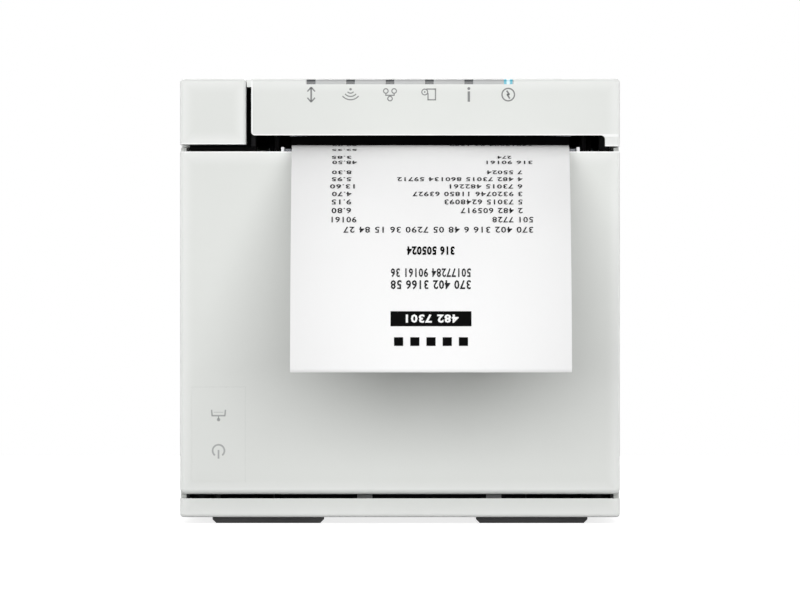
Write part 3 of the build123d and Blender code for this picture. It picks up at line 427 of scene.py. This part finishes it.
# %% Inner materials
black_plastic = {"Colour": tint(10, 10, 11), "Shade": tint(6, 6, 7), "Satin": 0.7}
inner_finishes = (                          # name, effect, its settings, the shader's settings
    ("foot_rubber", moulded, tones((88, 88, 88), (70, 70, 71), 0.8),
     {"bump": 0.3, "Specular_IOR_Level": 0.25}),
    ("inner_black", moulded, black_plastic, {"bump": 0.15, "Specular_IOR_Level": 0.1}),
    ("chip_black", moulded, tones((40, 40, 42), (33, 33, 35), 0.5), {"bump": 0.25}),
    ("socket_black", moulded, tones((30, 30, 31), (24, 24, 25), 0.45), {"bump": 0.15}),
    ("bar_grey", moulded, tones((173, 174, 174), (168, 169, 169), 0.4), {"bump": 0.1}),
    ("light_body", moulded, tones((236, 236, 228), (226, 226, 214), 0.3),
     {"bump": 0.05, "Coat_Weight": 0.4}),
    ("gear_white", moulded, tones((222, 220, 210), (214, 211, 199), 0.4), {"bump": 0.06}),
    ("bushing_nylon", moulded, tones((206, 203, 190), (196, 192, 178), 0.5), {"bump": 0.08}),
    ("platen_rubber", moulded, tones((52, 52, 55), (42, 42, 45), 0.7), {"bump": 0.35}),
    ("head_ceramic", moulded, tones((214, 205, 182), (204, 194, 168), 0.25),
     {"bump": 0.03, "Coat_Weight": 0.5}),
    ("sheet_steel", metal, tones((9, 9, 10), (5, 5, 6), 0.7, Stretch=(0.05, 1.0, 1.0)),
     {"bump": 0.15, "Specular_IOR_Level": 0.08}),
    ("bare_steel", metal, tones((236, 236, 238), (222, 222, 225), 0.4, Stretch=(0.05, 1.0, 1.0)),
     {"bump": 0.1, "Metallic": 0.3}),
    ("screw_steel", metal, tones((196, 197, 200), (170, 171, 175), 0.35, Stretch=(1.0, 1.0, 0.2)),
     {"bump": 0.1, "Metallic": 1.0}),
    ("shaft_steel", metal, tones((214, 215, 218), (192, 193, 197), 0.22, Stretch=(1.0, 0.1, 0.1)),
     {"bump": 0.08, "Metallic": 1.0}),
    ("spring_steel", metal, tones((190, 190, 194), (150, 150, 156), 0.3, Stretch=(0.2, 0.2, 1.0)),
     {"bump": 0.1, "Metallic": 1.0}),
    ("motor_can", metal, tones((160, 161, 164), (136, 137, 140), 0.35, Stretch=(0.05, 1.0, 1.0)),
     {"bump": 0.12, "Metallic": 1.0}),
    ("pinion_brass", metal, tones((222, 190, 112), (196, 160, 86), 0.3, Stretch=(1.0, 0.2, 0.2)),
     {"bump": 0.1, "Metallic": 1.0}),
    ("sink_aluminium", metal, tones((9, 9, 10), (6, 6, 7), 0.6, Stretch=(0.04, 1.0, 1.0)),
     {"bump": 0.14, "Specular_IOR_Level": 0.1}),
    ("blade_steel", metal, tones((84, 85, 88), (62, 63, 66), 0.28, Stretch=(1.0, 1.0, 0.05)),
     {"bump": 0.15, "Metallic": 1.0}),
    ("socket_shield", metal, tones((208, 208, 210), (182, 182, 186), 0.3, Stretch=(1.0, 0.06, 1.0)),
     {"bump": 0.1, "Metallic": 1.0}),
    ("circuit_board", board,
     {"Colour": tint(20, 92, 58), "Track": tint(38, 120, 78), "Pad": tint(208, 190, 132), "Satin": 0.28},
     {"bump": 0.2, "Coat_Weight": 0.5}),
    ("core_card", fibre, tones((188, 158, 122), (160, 130, 96), 0.8, Fibres=700.0), {"bump": 0.4}),
)
looks = {name: material(name, effect, settings, **surface)
         for name, effect, settings, surface in inner_finishes}
print("inner looks", len(looks))

# %% [markdown]
# ## Paper looks
# The receipt and the roll are the same coated paper. The receipt shows its face, so it takes the fibre
# effect, while the roll mostly shows its wound ends and takes the wound effect about its own axis.

# %% Paper looks
roll_low, roll_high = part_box("paper_roll")
roll_axis = (roll_low + roll_high) / 2
paper_white = {"Colour": tint(245, 245, 245), "Shade": tint(244, 244, 244)}
receipt_look = material("receipt_paper", fibre, {**paper_white, "Satin": 0.5, "Fibres": 2600.0}, bump=0.015,
                        Specular_IOR_Level=0.25)
looks["thermal_paper"] = material("wound_paper", wound, {"Colour": tint(247, 247, 246),
                                                         "Shade": tint(206, 206, 204),
                                                         "Satin": 0.7, "Axis": roll_axis}, bump=0.1)
print("roll axis", [round(v, 4) for v in roll_axis])

# %% [markdown]
# ## The status windows
# Six small smoked windows sit in the light bar, and the light behind the last one is on. One material
# covers them all: a mask along X picks the lit window, glowing cyan at its rim and white in the middle.


# %% Status windows
window_pitch = 11.38 * MM
bar_low, bar_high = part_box("light_bar")
lit_x = (bar_low.x + bar_high.x) / 2 + 2.5 * window_pitch
windows = bpy.data.materials.new("status_windows")
windows.use_nodes = True
tree = windows.node_tree
shader = tree.nodes["Principled BSDF"]
place = put(tree, "TexCoord").outputs["Object"]
along = put(tree, "SeparateXYZ")
tree.links.new(place, along.inputs[0])
off_centre = sums(tree, "ABSOLUTE", sums(tree, "SUBTRACT", along.outputs[0], lit_x), 0.0)
lit = sums(tree, "LESS_THAN", off_centre, window_pitch / 2)
middle = spread(tree, off_centre, 0.0002, 0.0007, 1.0, 0.0)
glow = blend_colour(tree, middle, tint(70, 172, 194), tint(216, 243, 250))
haze = grain(tree, place, 900.0)
smoked = blend_colour(tree, haze, tint(48, 50, 52), tint(72, 74, 76))
tree.links.new(blend_colour(tree, lit, smoked, tint(18, 40, 46)), shader.inputs["Base Color"])
tree.links.new(blend_colour(tree, lit, (0.0, 0.0, 0.0, 1.0), glow), shader.inputs["Emission Color"])
shader.inputs["Emission Strength"].default_value = 0.9
tree.links.new(spread(tree, haze, 0.0, 1.0, 0.15, 0.3), shader.inputs["Roughness"])
looks["light_window"] = windows
print("lit window at", round(lit_x, 4))

# %% [markdown]
# ## Dress the solids
# Each solid's record names the material slot that its finish belongs to. The solid keeps its mesh, and its
# material slots are given the look made for that slot, or its own shell material if it is part of the
# casing. The brackets that hold the roller and guide the paper's edges are left bright, without the black
# coat.

# %% Dress the solids
looks["white_case"] = shells["main_case"]
looks["white_key"] = shells["open_button"]
dressed_apart = {"platen_brackets": looks["bare_steel"], **shells}
for part in frame["record"]["subparts"]:
    solid = frame["nodes"][part["node"]]
    look = dressed_apart.get(part["node"], looks[part["material_slot"]])
    solid.data.materials.clear()
    solid.data.materials.append(look)


# %% [markdown]
# ## Where the paper runs
# The paper leaves the top of the roll, runs straight over the rubber roller and under the print head, rises
# to a crest at the slot and curls down in front. The line is one straight and four arcs. Its start comes
# from the two solids it touches, and the arcs are the bends that a fresh receipt keeps from its roll.

# %% Paper line
platen_low, platen_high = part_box("platen_roller")
platen_axis = (platen_low + platen_high) / 2
paper_gap = 0.1 * MM
paper_thick = 0.15 * MM
roll_r = (roll_high.z - roll_low.z) / 2 + paper_gap + paper_thick / 2
platen_r = (platen_high.z - platen_low.z) / 2 + paper_gap + paper_thick / 2
between = Vector((platen_axis.y - roll_axis.y, platen_axis.z - roll_axis.z))
lift = math.atan2(between.y, between.x) - math.acos((roll_r - platen_r) / between.length)
outward = Vector((math.cos(lift), math.sin(lift)))
paper_start = Vector((roll_axis.y, roll_axis.z)) + roll_r * outward
print_line = Vector((platen_axis.y, platen_axis.z)) + platen_r * outward
rise = math.pi / 2 - lift
bends = ((39.0 * MM, rise), (22.0 * MM, math.radians(40)), (127.0 * MM, math.radians(17)),
         (100.0 * MM, math.radians(20)))
print("rise", round(math.degrees(rise), 2))


def turn_about(point, centre, angle):
    """A point in the Y, Z plane turned about a centre, positive from Y to Z."""
    away = point - centre
    return centre + Vector((away.x * math.cos(angle) - away.y * math.sin(angle),
                            away.x * math.sin(angle) + away.y * math.cos(angle)))


def paper_point(along):
    """The paper line's Y and Z, and its slope, at a distance past the print line."""
    point, slope = print_line, rise
    for radius, turn in bends:
        centre = point - radius * Vector((math.sin(slope), math.cos(slope)))
        step = min(along, radius * turn) / radius
        point = turn_about(point, centre, step)
        slope -= step
        along -= radius * turn
        if along <= 0:
            break
    return point, slope


# %% [markdown]
# ## The receipt sheet
# A sheet of even width is a single edge swept along a line. The edge is as wide as the paper. It is
# extruded along the straight run, then spun about each bend's centre in turn, which gives true arcs with
# few steps. A thickness is added at the end.


# %% Receipt sheet
def sweep_straight(mesh, edge, move):
    """Extrudes an edge and moves the new one. Returns the new edge."""
    grown = bmesh.ops.extrude_edge_only(mesh, edges=[edge])["geom"]
    points = [item for item in grown if isinstance(item, bmesh.types.BMVert)]
    bmesh.ops.translate(mesh, verts=points, vec=move)
    edges = [item for item in grown if isinstance(item, bmesh.types.BMEdge)]
    return next(edge for edge in edges if set(edge.verts) == set(points))


def sweep_bend(mesh, edge, centre, angle, steps):
    """Spins an edge about a line along X. Returns the last edge."""
    last = bmesh.ops.spin(mesh, geom=[*edge.verts, edge], cent=(0.0, *centre), axis=(1.0, 0.0, 0.0),
                          angle=angle, steps=steps, use_duplicate=False)["geom_last"]
    return next(item for item in last if isinstance(item, bmesh.types.BMEdge))


def new_piece(name, mesh, look, body=None):
    """A bmesh made into an object that rides on a body."""
    data = bpy.data.meshes.new(name)
    mesh.to_mesh(data)
    mesh.free()
    data.materials.append(look)
    piece = bpy.data.objects.new(name, data)
    bpy.context.scene.collection.objects.link(piece)
    if body:
        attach(piece, body)
    return piece


paper_low, paper_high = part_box("receipt_paper")
sheet = bmesh.new()
ends = [sheet.verts.new((paper_x, *paper_start)) for paper_x in (paper_low.x, paper_high.x)]
edge = sheet.edges.new(ends)
run = print_line - paper_start
for part in range(20):
    edge = sweep_straight(sheet, edge, (0.0, run.x / 20, run.y / 20))
spot, slope = print_line, rise
for radius, turn in bends:
    centre = spot - radius * Vector((math.sin(slope), math.cos(slope)))
    edge = sweep_bend(sheet, edge, centre, turn, max(8, round(radius * turn / (1.2 * MM))))
    spot = turn_about(spot, centre, turn)
    slope -= turn
bmesh.ops.remove_doubles(sheet, verts=sheet.verts, dist=0.00001)
bmesh.ops.recalc_face_normals(sheet, faces=sheet.faces)
bmesh.ops.solidify(sheet, geom=sheet.faces[:], thickness=paper_thick)
bmesh.ops.recalc_face_normals(sheet, faces=sheet.faces)
receipt = new_piece("receipt", sheet, receipt_look)
for face in receipt.data.polygons:
    face.use_smooth = face.area > 2e-7
print("receipt faces", len(receipt.data.polygons), "ends at", [round(v, 4) for v in spot])

# %% [markdown]
# ## Print on the receipt
# Thermal print lies in the paper's own surface. Each row of figures is a text object turned into a mesh and
# laid on the paper line, point by point, a hair above the sheet so that it stays visible. The rows read
# from the cut end upwards, so they stand on their heads to someone facing the printer. Only figures are
# used.


# %% Printing ink
ink = material("thermal_print", fibre, {"Colour": tint(30, 30, 31), "Shade": tint(58, 58, 60), "Satin": 0.8,
                                        "Fibres": 5200.0}, bump=0.02, Specular_IOR_Level=0.05)
ink_bold = material("thermal_print_solid", fibre, {"Colour": tint(4, 4, 4), "Shade": tint(9, 9, 9),
                                                   "Satin": 0.8, "Fibres": 5200.0}, bump=0.02,
                    Specular_IOR_Level=0.05)
paper_middle = (paper_low.x + paper_high.x) / 2
above_paper = paper_thick / 2 + 0.03 * MM


def along_at(height):
    """How far past the print line the paper's front side comes down to a height."""
    low, high = sum(radius * turn for radius, turn in bends[:1]), sum(radius * turn for radius, turn in bends)
    for _ in range(30):
        middle = (low + high) / 2
        if paper_point(middle)[0].y > height:
            low = middle
        else:
            high = middle
    return low


def lay_on_paper(mesh, height):
    """Moves points from a flat (across, up) drawing onto the paper, its up towards the cut end."""
    base = along_at(height)
    for vert in mesh.verts:
        point, slope = paper_point(base + vert.co.y)
        point = point + above_paper * Vector((math.sin(slope), math.cos(slope)))
        vert.co = Vector((-vert.co.x, point.x, point.y))


def flat_text(words, size, width, align="LEFT", weight=0.05 * MM):
    """A row of figures as a flat bmesh of a given width, its middle height at zero."""
    curve = bpy.data.curves.new("figures", "FONT")
    curve.body, curve.size, curve.align_x = words, size, align
    curve.resolution_u = 2
    curve.space_character = 1.12
    curve.offset = weight
    holder = bpy.data.objects.new("figures", curve)
    bpy.context.scene.collection.objects.link(holder)
    bpy.context.view_layer.update()
    flat = bpy.data.meshes.new_from_object(holder.evaluated_get(bpy.context.evaluated_depsgraph_get()))
    bpy.data.objects.remove(holder)
    mesh = bmesh.new()
    mesh.from_mesh(flat)
    bpy.data.meshes.remove(flat)
    reach = [vert.co.x for vert in mesh.verts]
    bmesh.ops.translate(mesh, verts=mesh.verts, vec=(0.0, -0.35 * size, 0.0))
    bmesh.ops.scale(mesh, verts=mesh.verts, vec=(width / (max(reach) - min(reach)), 1.0, 1.0))
    return mesh


# %% Rows of figures
columns = {"right": -38.2 * MM, "left": 20.0 * MM}      # where rows begin and where their amounts end, across
rows = (                                    # height, size, indent in letters, figures, amount
    (84.5, 3.0, 0, "370 402 316 6 48 05 7290 36 15 84 27", ""),
    (87.4, 2.9, 0, "501 7728", "90161"),
    (90.0, 2.8, 2, "2 482 605917", "6.80"),
    (92.5, 2.65, 2, "5 73015 6248093", "9.15"),
    (94.8, 2.5, 2, "3 9320746 11850 63927", "4.70"),
    (97.0, 2.4, 2, "6 73015 482261", "13.60"),
    (99.1, 2.3, 2, "4 482 73015 860134 59712", "5.95"),
    (101.1, 2.2, 2, "7 55024", "8.30"),
    (104.0, 2.1, 0, "316 90161", "48.50"),
    (105.5, 2.0, 4, "274", "3.85"),
    (107.7, 1.9, 0, "", "52.35"),
    (109.0, 1.8, 0, "73015604 82 1950", "60.00"),
)
letter = 1.52 * MM
figures = bmesh.new()


def add_to(whole, piece):
    """Adds one bmesh to another."""
    data = bpy.data.meshes.new("part")
    piece.to_mesh(data)
    piece.free()
    whole.from_mesh(data)
    bpy.data.meshes.remove(data)


for height, size, indent, words, amount in rows:
    amount_start = columns["left"] - len(amount) * letter
    for start, text in ((columns["right"] + indent * letter, words), (amount_start, amount)):
        if text:
            row = flat_text(text, size * MM, (len(text) - 0.3) * letter)
            bmesh.ops.translate(row, verts=row.verts, vec=(start, 0.0, 0.0))
            lay_on_paper(row, height * MM)
            add_to(figures, row)
for height, size, words in ((68.8, 3.9, "370 402 3166 58"), (72.2, 3.9, "50177284 90161 36")):
    row = flat_text(words, size * MM, 22.8 * MM, "CENTER", 0.1 * MM)
    bmesh.ops.translate(row, verts=row.verts, vec=(-paper_middle, 0.0, 0.0))
    lay_on_paper(row, height * MM)
    add_to(figures, row)
figures_piece = new_piece("receipt_figures", figures, ink)
print("figures faces", len(figures_piece.data.polygons))

# %% [markdown]
# ## The black block at the head of the receipt
# The head is plain: a solid bar with a row of figures left open in it, and a row of five squares between
# the bar and the cut end. Each starts as a grid, and its points are laid on the paper like the figures.


# %% Receipt head
def flat_bar(x0, y0, x1, y1, steps=6):
    """A flat rectangle with enough rows to follow a curve."""
    bar = bmesh.new()
    bmesh.ops.create_grid(bar, x_segments=2, y_segments=steps, size=0.5)
    bmesh.ops.scale(bar, verts=bar.verts, vec=(x1 - x0, y1 - y0, 1.0))
    bmesh.ops.translate(bar, verts=bar.verts, vec=((x0 + x1) / 2, (y0 + y1) / 2, 0.0))
    return bar


head_height = 59.15 * MM
middle = -paper_middle
head = bmesh.new()
bar_reach = 11.5 * MM
bar_rise = 2.3 * MM
square = 2.6 * MM
square_pitch = 4.6 * MM
square_start = 5.6 * MM
shapes = [flat_bar(middle - bar_reach, -bar_rise, middle + bar_reach, bar_rise)]
for step in range(-2, 3):
    across = middle + step * square_pitch
    shapes.append(flat_bar(across - square / 2, square_start, across + square / 2, square_start + square))
for shape in shapes:
    lay_on_paper(shape, head_height)
    add_to(head, shape)
bmesh.ops.recalc_face_normals(head, faces=head.faces)
head_piece = new_piece("receipt_head", head, ink_bold)
above_paper += 0.03 * MM
open_row = flat_text("482 7301", 3.3 * MM, 15.0 * MM, "CENTER", 0.12 * MM)
bmesh.ops.translate(open_row, verts=open_row.verts, vec=(middle, 0.0, 0.0))
lay_on_paper(open_row, head_height)
bold_row = flat_text("316 505024", 3.8 * MM, 13.6 * MM, "CENTER", 0.17 * MM)
bmesh.ops.translate(bold_row, verts=bold_row.verts, vec=(middle, 0.0, 0.0))
lay_on_paper(bold_row, 78.5 * MM)
open_piece = new_piece("receipt_head_figures", open_row, receipt_look)
bold_piece = new_piece("receipt_bold_figures", bold_row, ink_bold)
print("head faces", len(head_piece.data.polygons))

# %% [markdown]
# ## The receipt in place
# The receipt comes off the roll inside the main body, and the front cover swings down beneath it. The sheet,
# its print and its head have their places baked into their meshes, and the imported receipt solid is hidden.

# %% Receipt in place
for piece in (receipt, figures_piece, head_piece, open_piece, bold_piece):
    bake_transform(piece)
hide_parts("receipt_paper")

# %% [markdown]
# ## Springs
# Three small compression springs sit inside: one pushes the corner button out, two press the print head
# down. Each is a ring of wire spun about the spring's axis while it climbs, with its two ends closed.


# %% Springs
def coil(mesh, foot, height, radius, wire, turns):
    """Adds one spring to a mesh, standing along Z on a point."""
    one = bmesh.new()
    bmesh.ops.create_circle(one, segments=10, radius=wire)
    bmesh.ops.rotate(one, verts=one.verts, cent=(0.0, 0.0, 0.0), matrix=Matrix.Rotation(math.pi / 2, 3, "X"))
    bmesh.ops.translate(one, verts=one.verts, vec=foot + Vector((radius, 0.0, wire)))
    steps = 24 * turns
    first = one.edges[:]
    climb = Vector((0.0, 0.0, (height - 2 * wire) / steps))
    last = bmesh.ops.spin(one, geom=[*one.verts, *first], cent=foot, axis=(0.0, 0.0, 1.0), dvec=climb,
                          angle=2 * math.pi * turns, steps=steps, use_duplicate=False)["geom_last"]
    for ring in (first, [item for item in last if isinstance(item, bmesh.types.BMEdge)]):
        bmesh.ops.contextual_create(one, geom=ring)
    bmesh.ops.recalc_face_normals(one, faces=one.faces)
    add_to(mesh, one)


def spring_piece(name, mesh, node):
    """A spring piece with its place baked in, hiding the imported solid that it replaces."""
    piece = new_piece(name, mesh, looks["spring_steel"])
    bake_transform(piece)
    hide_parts(node)
    print(name, "faces", len(piece.data.polygons))


head_wire, button_wire = 0.3 * MM, 0.25 * MM
low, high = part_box("head_springs")
reach = (high.y - low.y) / 2
coils = bmesh.new()
for x in (low.x + reach, high.x - reach):
    coil(coils, Vector((x, (low.y + high.y) / 2, low.z)), high.z - low.z, reach - head_wire, head_wire, 4)
middle_of = (low + high) / 2
spring_piece("head_coils", coils, "head_springs")
low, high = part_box("button_spring")
reach = (high.x - low.x) / 2
coils = bmesh.new()
coil(coils, Vector((0.0, 0.0, 0.0)), high.y - low.y, reach - button_wire, button_wire, 3)
bmesh.ops.rotate(coils, verts=coils.verts, cent=(0.0, 0.0, 0.0), matrix=Matrix.Rotation(-math.pi / 2, 3, "X"))
middle_of = (low + high) / 2
bmesh.ops.translate(coils, verts=coils.verts, vec=(middle_of.x, low.y, middle_of.z))
spring_piece("button_coil", coils, "button_spring")

# %% [markdown]
# ## Marks on the casing
# The casing carries small grey pad-printed marks: one under each window and two on the keys. They are flat
# shapes a few hundredths of a millimetre in front of the plastic, drawn with bars, rings and dots. Each
# says something plain: a link, radio waves, a wired network, paper, an alert and power.

# %% Mark ink
grey_ink = material("printed_mark", moulded, {"Colour": tint(128, 129, 129), "Shade": tint(118, 119, 119),
                                              "Satin": 0.5}, bump=0.03, Specular_IOR_Level=0.3)
pale_ink = material("printed_key_mark", moulded, {"Colour": tint(168, 170, 169),
                                                  "Shade": tint(160, 162, 161),
                                                  "Satin": 0.5}, bump=0.03, Specular_IOR_Level=0.3)


def stroke(x0, z0, x1, z1, width):
    """A flat bar from one point to another."""
    length = math.hypot(x1 - x0, z1 - z0)
    bar = flat_bar(0.0, -width / 2, length, width / 2, 1)
    bmesh.ops.rotate(bar, verts=bar.verts, cent=(0.0, 0.0, 0.0),
                     matrix=Matrix.Rotation(math.atan2(z1 - z0, x1 - x0), 3, "Z"))
    bmesh.ops.translate(bar, verts=bar.verts, vec=(x0, z0, 0.0))
    return bar


def flat_arc(x, y, outer, inner, start, sweep, steps=36):
    """Part of a flat ring: an edge across the ring spun about its centre."""
    arc = bmesh.new()
    reach = Vector((math.cos(math.radians(start)), math.sin(math.radians(start)), 0.0))
    ends = [arc.verts.new(Vector((x, y, 0.0)) + radius * reach) for radius in (inner, outer)]
    across = arc.edges.new(ends)
    bmesh.ops.spin(arc, geom=[*ends, across], cent=(x, y, 0.0), axis=(0.0, 0.0, 1.0),
                   angle=math.radians(sweep), steps=steps, use_merge=sweep == 360, use_duplicate=False)
    bmesh.ops.recalc_face_normals(arc, faces=arc.faces)
    return arc


def dot(x, z, radius):
    """A flat disc."""
    disc = bmesh.new()
    bmesh.ops.create_circle(disc, cap_ends=True, segments=20, radius=radius)
    bmesh.ops.translate(disc, verts=disc.verts, vec=(x, z, 0.0))
    return disc


def marks_on_front(name, shapes, x, z, y, look, body):
    """Flat shapes in millimetres, stood up in front of a face at one place."""
    whole = bmesh.new()
    for shape in shapes:
        add_to(whole, shape)
    bmesh.ops.scale(whole, verts=whole.verts, vec=(MM, MM, MM))
    bmesh.ops.rotate(whole, verts=whole.verts, cent=(0.0, 0.0, 0.0),
                     matrix=Matrix.Rotation(math.pi / 2, 3, "X"))
    bmesh.ops.translate(whole, verts=whole.verts, vec=(x, y - 0.03 * MM, z))
    for face in whole.faces:
        if face.normal.y > 0:
            face.normal_flip()
    return new_piece(name, whole, look, body)


# %% Marks under the windows
line = 0.4
link_mark = [stroke(-1.1, 0.9, 0, 2.15, line), stroke(0, 2.15, 1.1, 0.9, line),
             stroke(-1.1, -0.9, 0, -2.15, line), stroke(0, -2.15, 1.1, -0.9, line),
             stroke(0, -1.9, 0, 1.9, 0.5)]
radio_mark = [dot(0, 1.55, 0.36)] + [flat_arc(0, 1.55, r, r - 0.34, -90 - 50, 100) for r in (1.3, 2.25, 3.2)]
wired_mark = [flat_arc(x, z, 0.82, 0.5, 0, 360) for x, z in ((-1.2, 1.05), (1.2, 1.05), (0, -1.15))]
wired_mark += [stroke(-1.2, 0.25, -1.2, -0.2, 0.32), stroke(1.2, 0.25, 1.2, -0.2, 0.32),
               stroke(-1.36, -0.2, 1.36, -0.2, 0.32), stroke(0, -0.35, 0, -0.1, 0.32)]
paper_mark = [flat_arc(-1.35, 0.75, 1.0, 0.68, 0, 360), dot(-1.35, 0.75, 0.25),
              stroke(-0.9, 1.6, 1.75, 1.6, 0.34), stroke(1.75, 1.77, 1.75, -1.6, 0.34),
              stroke(-0.5, -1.5, 1.92, -1.5, 0.34), stroke(-0.4, -1.6, -0.4, 0.4, 0.34)]
alert_mark = [dot(0, 1.75, 0.42), stroke(0, 0.95, 0, -2.05, 0.7)]
power_mark = [flat_arc(0, 0, 2.0, 1.6, 0, 360), stroke(-0.45, 1.15, 0.3, 0.05, 0.46),
              stroke(-0.3, 0.05, 0.45, -1.15, 0.46), stroke(-0.42, 0.05, 0.42, 0.05, 0.46)]
mark_z = 123.8 * MM
window_marks = {"link": link_mark, "radio": radio_mark, "wired": wired_mark, "paper": paper_mark,
                "alert": alert_mark, "power": power_mark}
for number, (name, shapes) in enumerate(window_marks.items()):
    marks_on_front("mark_" + name, shapes, lit_x - (5 - number) * window_pitch, mark_z, top_low.y, grey_ink,
                   "main")
print("window marks", 6)

# %% [markdown]
# ## The key film
# A thin flexible film lies in the key recess, over both keys, and carries their marks. It is a flat plate a
# twentieth of a millimetre thick: a cube flattened to the recess, with its four corner edges bevelled. It
# hides the gap between the keys and leaves only a faint outline where it ends.

# %% Key film and its marks
feed_low, feed_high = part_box("feed_key")
power_low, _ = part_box("power_key")
film_look = material("key_film", moulded, {"Colour": tint(216, 218, 215),
                                           "Shade": tint(214, 216, 213), "Satin": 0.5},
                     bump=0.03, Specular_IOR_Level=0.3)
film_edge = 0.185 * MM
film = bmesh.new()
bmesh.ops.create_cube(film, size=1.0)
bmesh.ops.scale(film, verts=film.verts, vec=(feed_high.x - feed_low.x + 2 * film_edge, 0.04 * MM,
                                             feed_high.z - power_low.z + 2 * film_edge))
bmesh.ops.translate(film, verts=film.verts, vec=((feed_low.x + feed_high.x) / 2, feed_low.y - 0.025 * MM,
                                                 (power_low.z + feed_high.z) / 2))
upright = [edge for edge in film.edges if abs(edge.verts[0].co.y - edge.verts[1].co.y) > 0.01 * MM]
bmesh.ops.bevel(film, geom=upright, offset=0.1 * MM, affect="EDGES", segments=5, profile=0.5, material=-1)
new_piece("key_film", film, film_look, "cover")
key_x = (feed_low.x + feed_high.x) / 2 + 0.05 * MM
feed_mark = [stroke(-2.0, 1.5, -1.85, -0.2, 0.42), stroke(-2.0, -0.2, 2.0, -0.2, 0.42),
             stroke(1.85, -0.2, 2.0, 1.5, 0.42), dot(0, -1.35, 0.5),
             stroke(-1.4, 0.8, 1.4, 0.8, 0.12), stroke(0, -0.3, 0, -1.2, 0.3)]
off_mark = [flat_arc(0, 0, 1.95, 1.45, -52, 284), stroke(0, 0.2, 0, -2.3, 0.5)]
for name, shapes, height in (("mark_feed_key", feed_mark, 31.3), ("mark_power_key", off_mark, 21.0)):
    marks_on_front(name, shapes, key_x, height * MM, feed_low.y - 0.045 * MM, pale_ink, "cover")
print("key film and marks at", round(key_x, 4))

# %% [markdown]
# ## Light and floor
# One tall softbox in front of the printer, reaching well above it, lights the face and lets the curled
# paper throw a soft shadow on the cover. Softboxes behind and at the sides do the same for the other faces
# without reaching the front, and the world fills in. The floor and the world look white to the camera and
# to mirrors through Light Path, while their light on the printer stays at a plain level.


# %% Softboxes
def softbox(name, azimuth, elevation, distance, size, watts):
    """An area lamp facing the printer's middle."""
    lamp = bpy.data.lights.new(name, "AREA")
    lamp.shape, lamp.size, lamp.size_y = "RECTANGLE", *size
    lamp.energy = watts
    box_object = bpy.data.objects.new(name, lamp)
    a, e = math.radians(azimuth), math.radians(elevation)
    back = Vector((math.sin(a) * math.cos(e), -math.cos(a) * math.cos(e), math.sin(e)))
    box_object.location = Vector((0.0, 0.0, 0.06)) + distance * back
    box_object.rotation_euler = (-back).to_track_quat("-Z", "Y").to_euler()
    bpy.context.scene.collection.objects.link(box_object)


softbox("front_box", 0, 12, 2.0, (2.4, 1.25), 42.8)
softbox("rear_box", 180, 40, 2.0, (2.2, 1.4), 42.0)
softbox("left_box", 260, 20, 2.0, (1.0, 1.4), 14.0)
softbox("right_box", 100, 20, 2.0, (1.0, 1.4), 14.0)


def seen_directly(tree):
    """One for a ray from the camera, or one mirrored or let through to it, else zero."""
    path = put(tree, "LightPath")
    mirrored = sums(tree, "MAXIMUM", path.outputs["Is Camera Ray"], path.outputs["Is Glossy Ray"])
    return sums(tree, "MAXIMUM", mirrored, path.outputs["Is Transmission Ray"])


world = bpy.data.worlds.new("studio")
world.use_nodes = True
bpy.context.scene.world = world
tree = world.node_tree
seen = seen_directly(tree)
sky = blend_colour(tree, seen, (0.12, 0.12, 0.12, 1.0), (1.0, 1.0, 1.0, 1.0))
tree.links.new(sky, tree.nodes["Background"].inputs["Color"])

floor_mesh = bmesh.new()
bmesh.ops.create_circle(floor_mesh, cap_ends=True, segments=96, radius=1.1)
floor_look = bpy.data.materials.new("floor")
floor_look.use_nodes = True
tree = floor_look.node_tree
tree.nodes.remove(tree.nodes["Principled BSDF"])
matt = put(tree, "BsdfDiffuse", {"Color": (0.35, 0.35, 0.35, 1.0)})
faint = put(tree, "BsdfDiffuse", {"Color": (0.4, 0.4, 0.4, 1.0)})
bright = put(tree, "Emission", {"Color": (1.0, 1.0, 1.0, 1.0), "Strength": 0.8})
lit_floor = put(tree, "AddShader")
tree.links.new(faint.outputs[0], lit_floor.inputs[0])
tree.links.new(bright.outputs[0], lit_floor.inputs[1])
seen = seen_directly(tree)
either = put(tree, "MixShader")
tree.links.new(seen, either.inputs[0])
tree.links.new(matt.outputs[0], either.inputs[1])
tree.links.new(lit_floor.outputs[0], either.inputs[2])
tree.links.new(either.outputs[0], tree.nodes["Material Output"].inputs["Surface"])
floor = new_piece("floor", floor_mesh, floor_look)
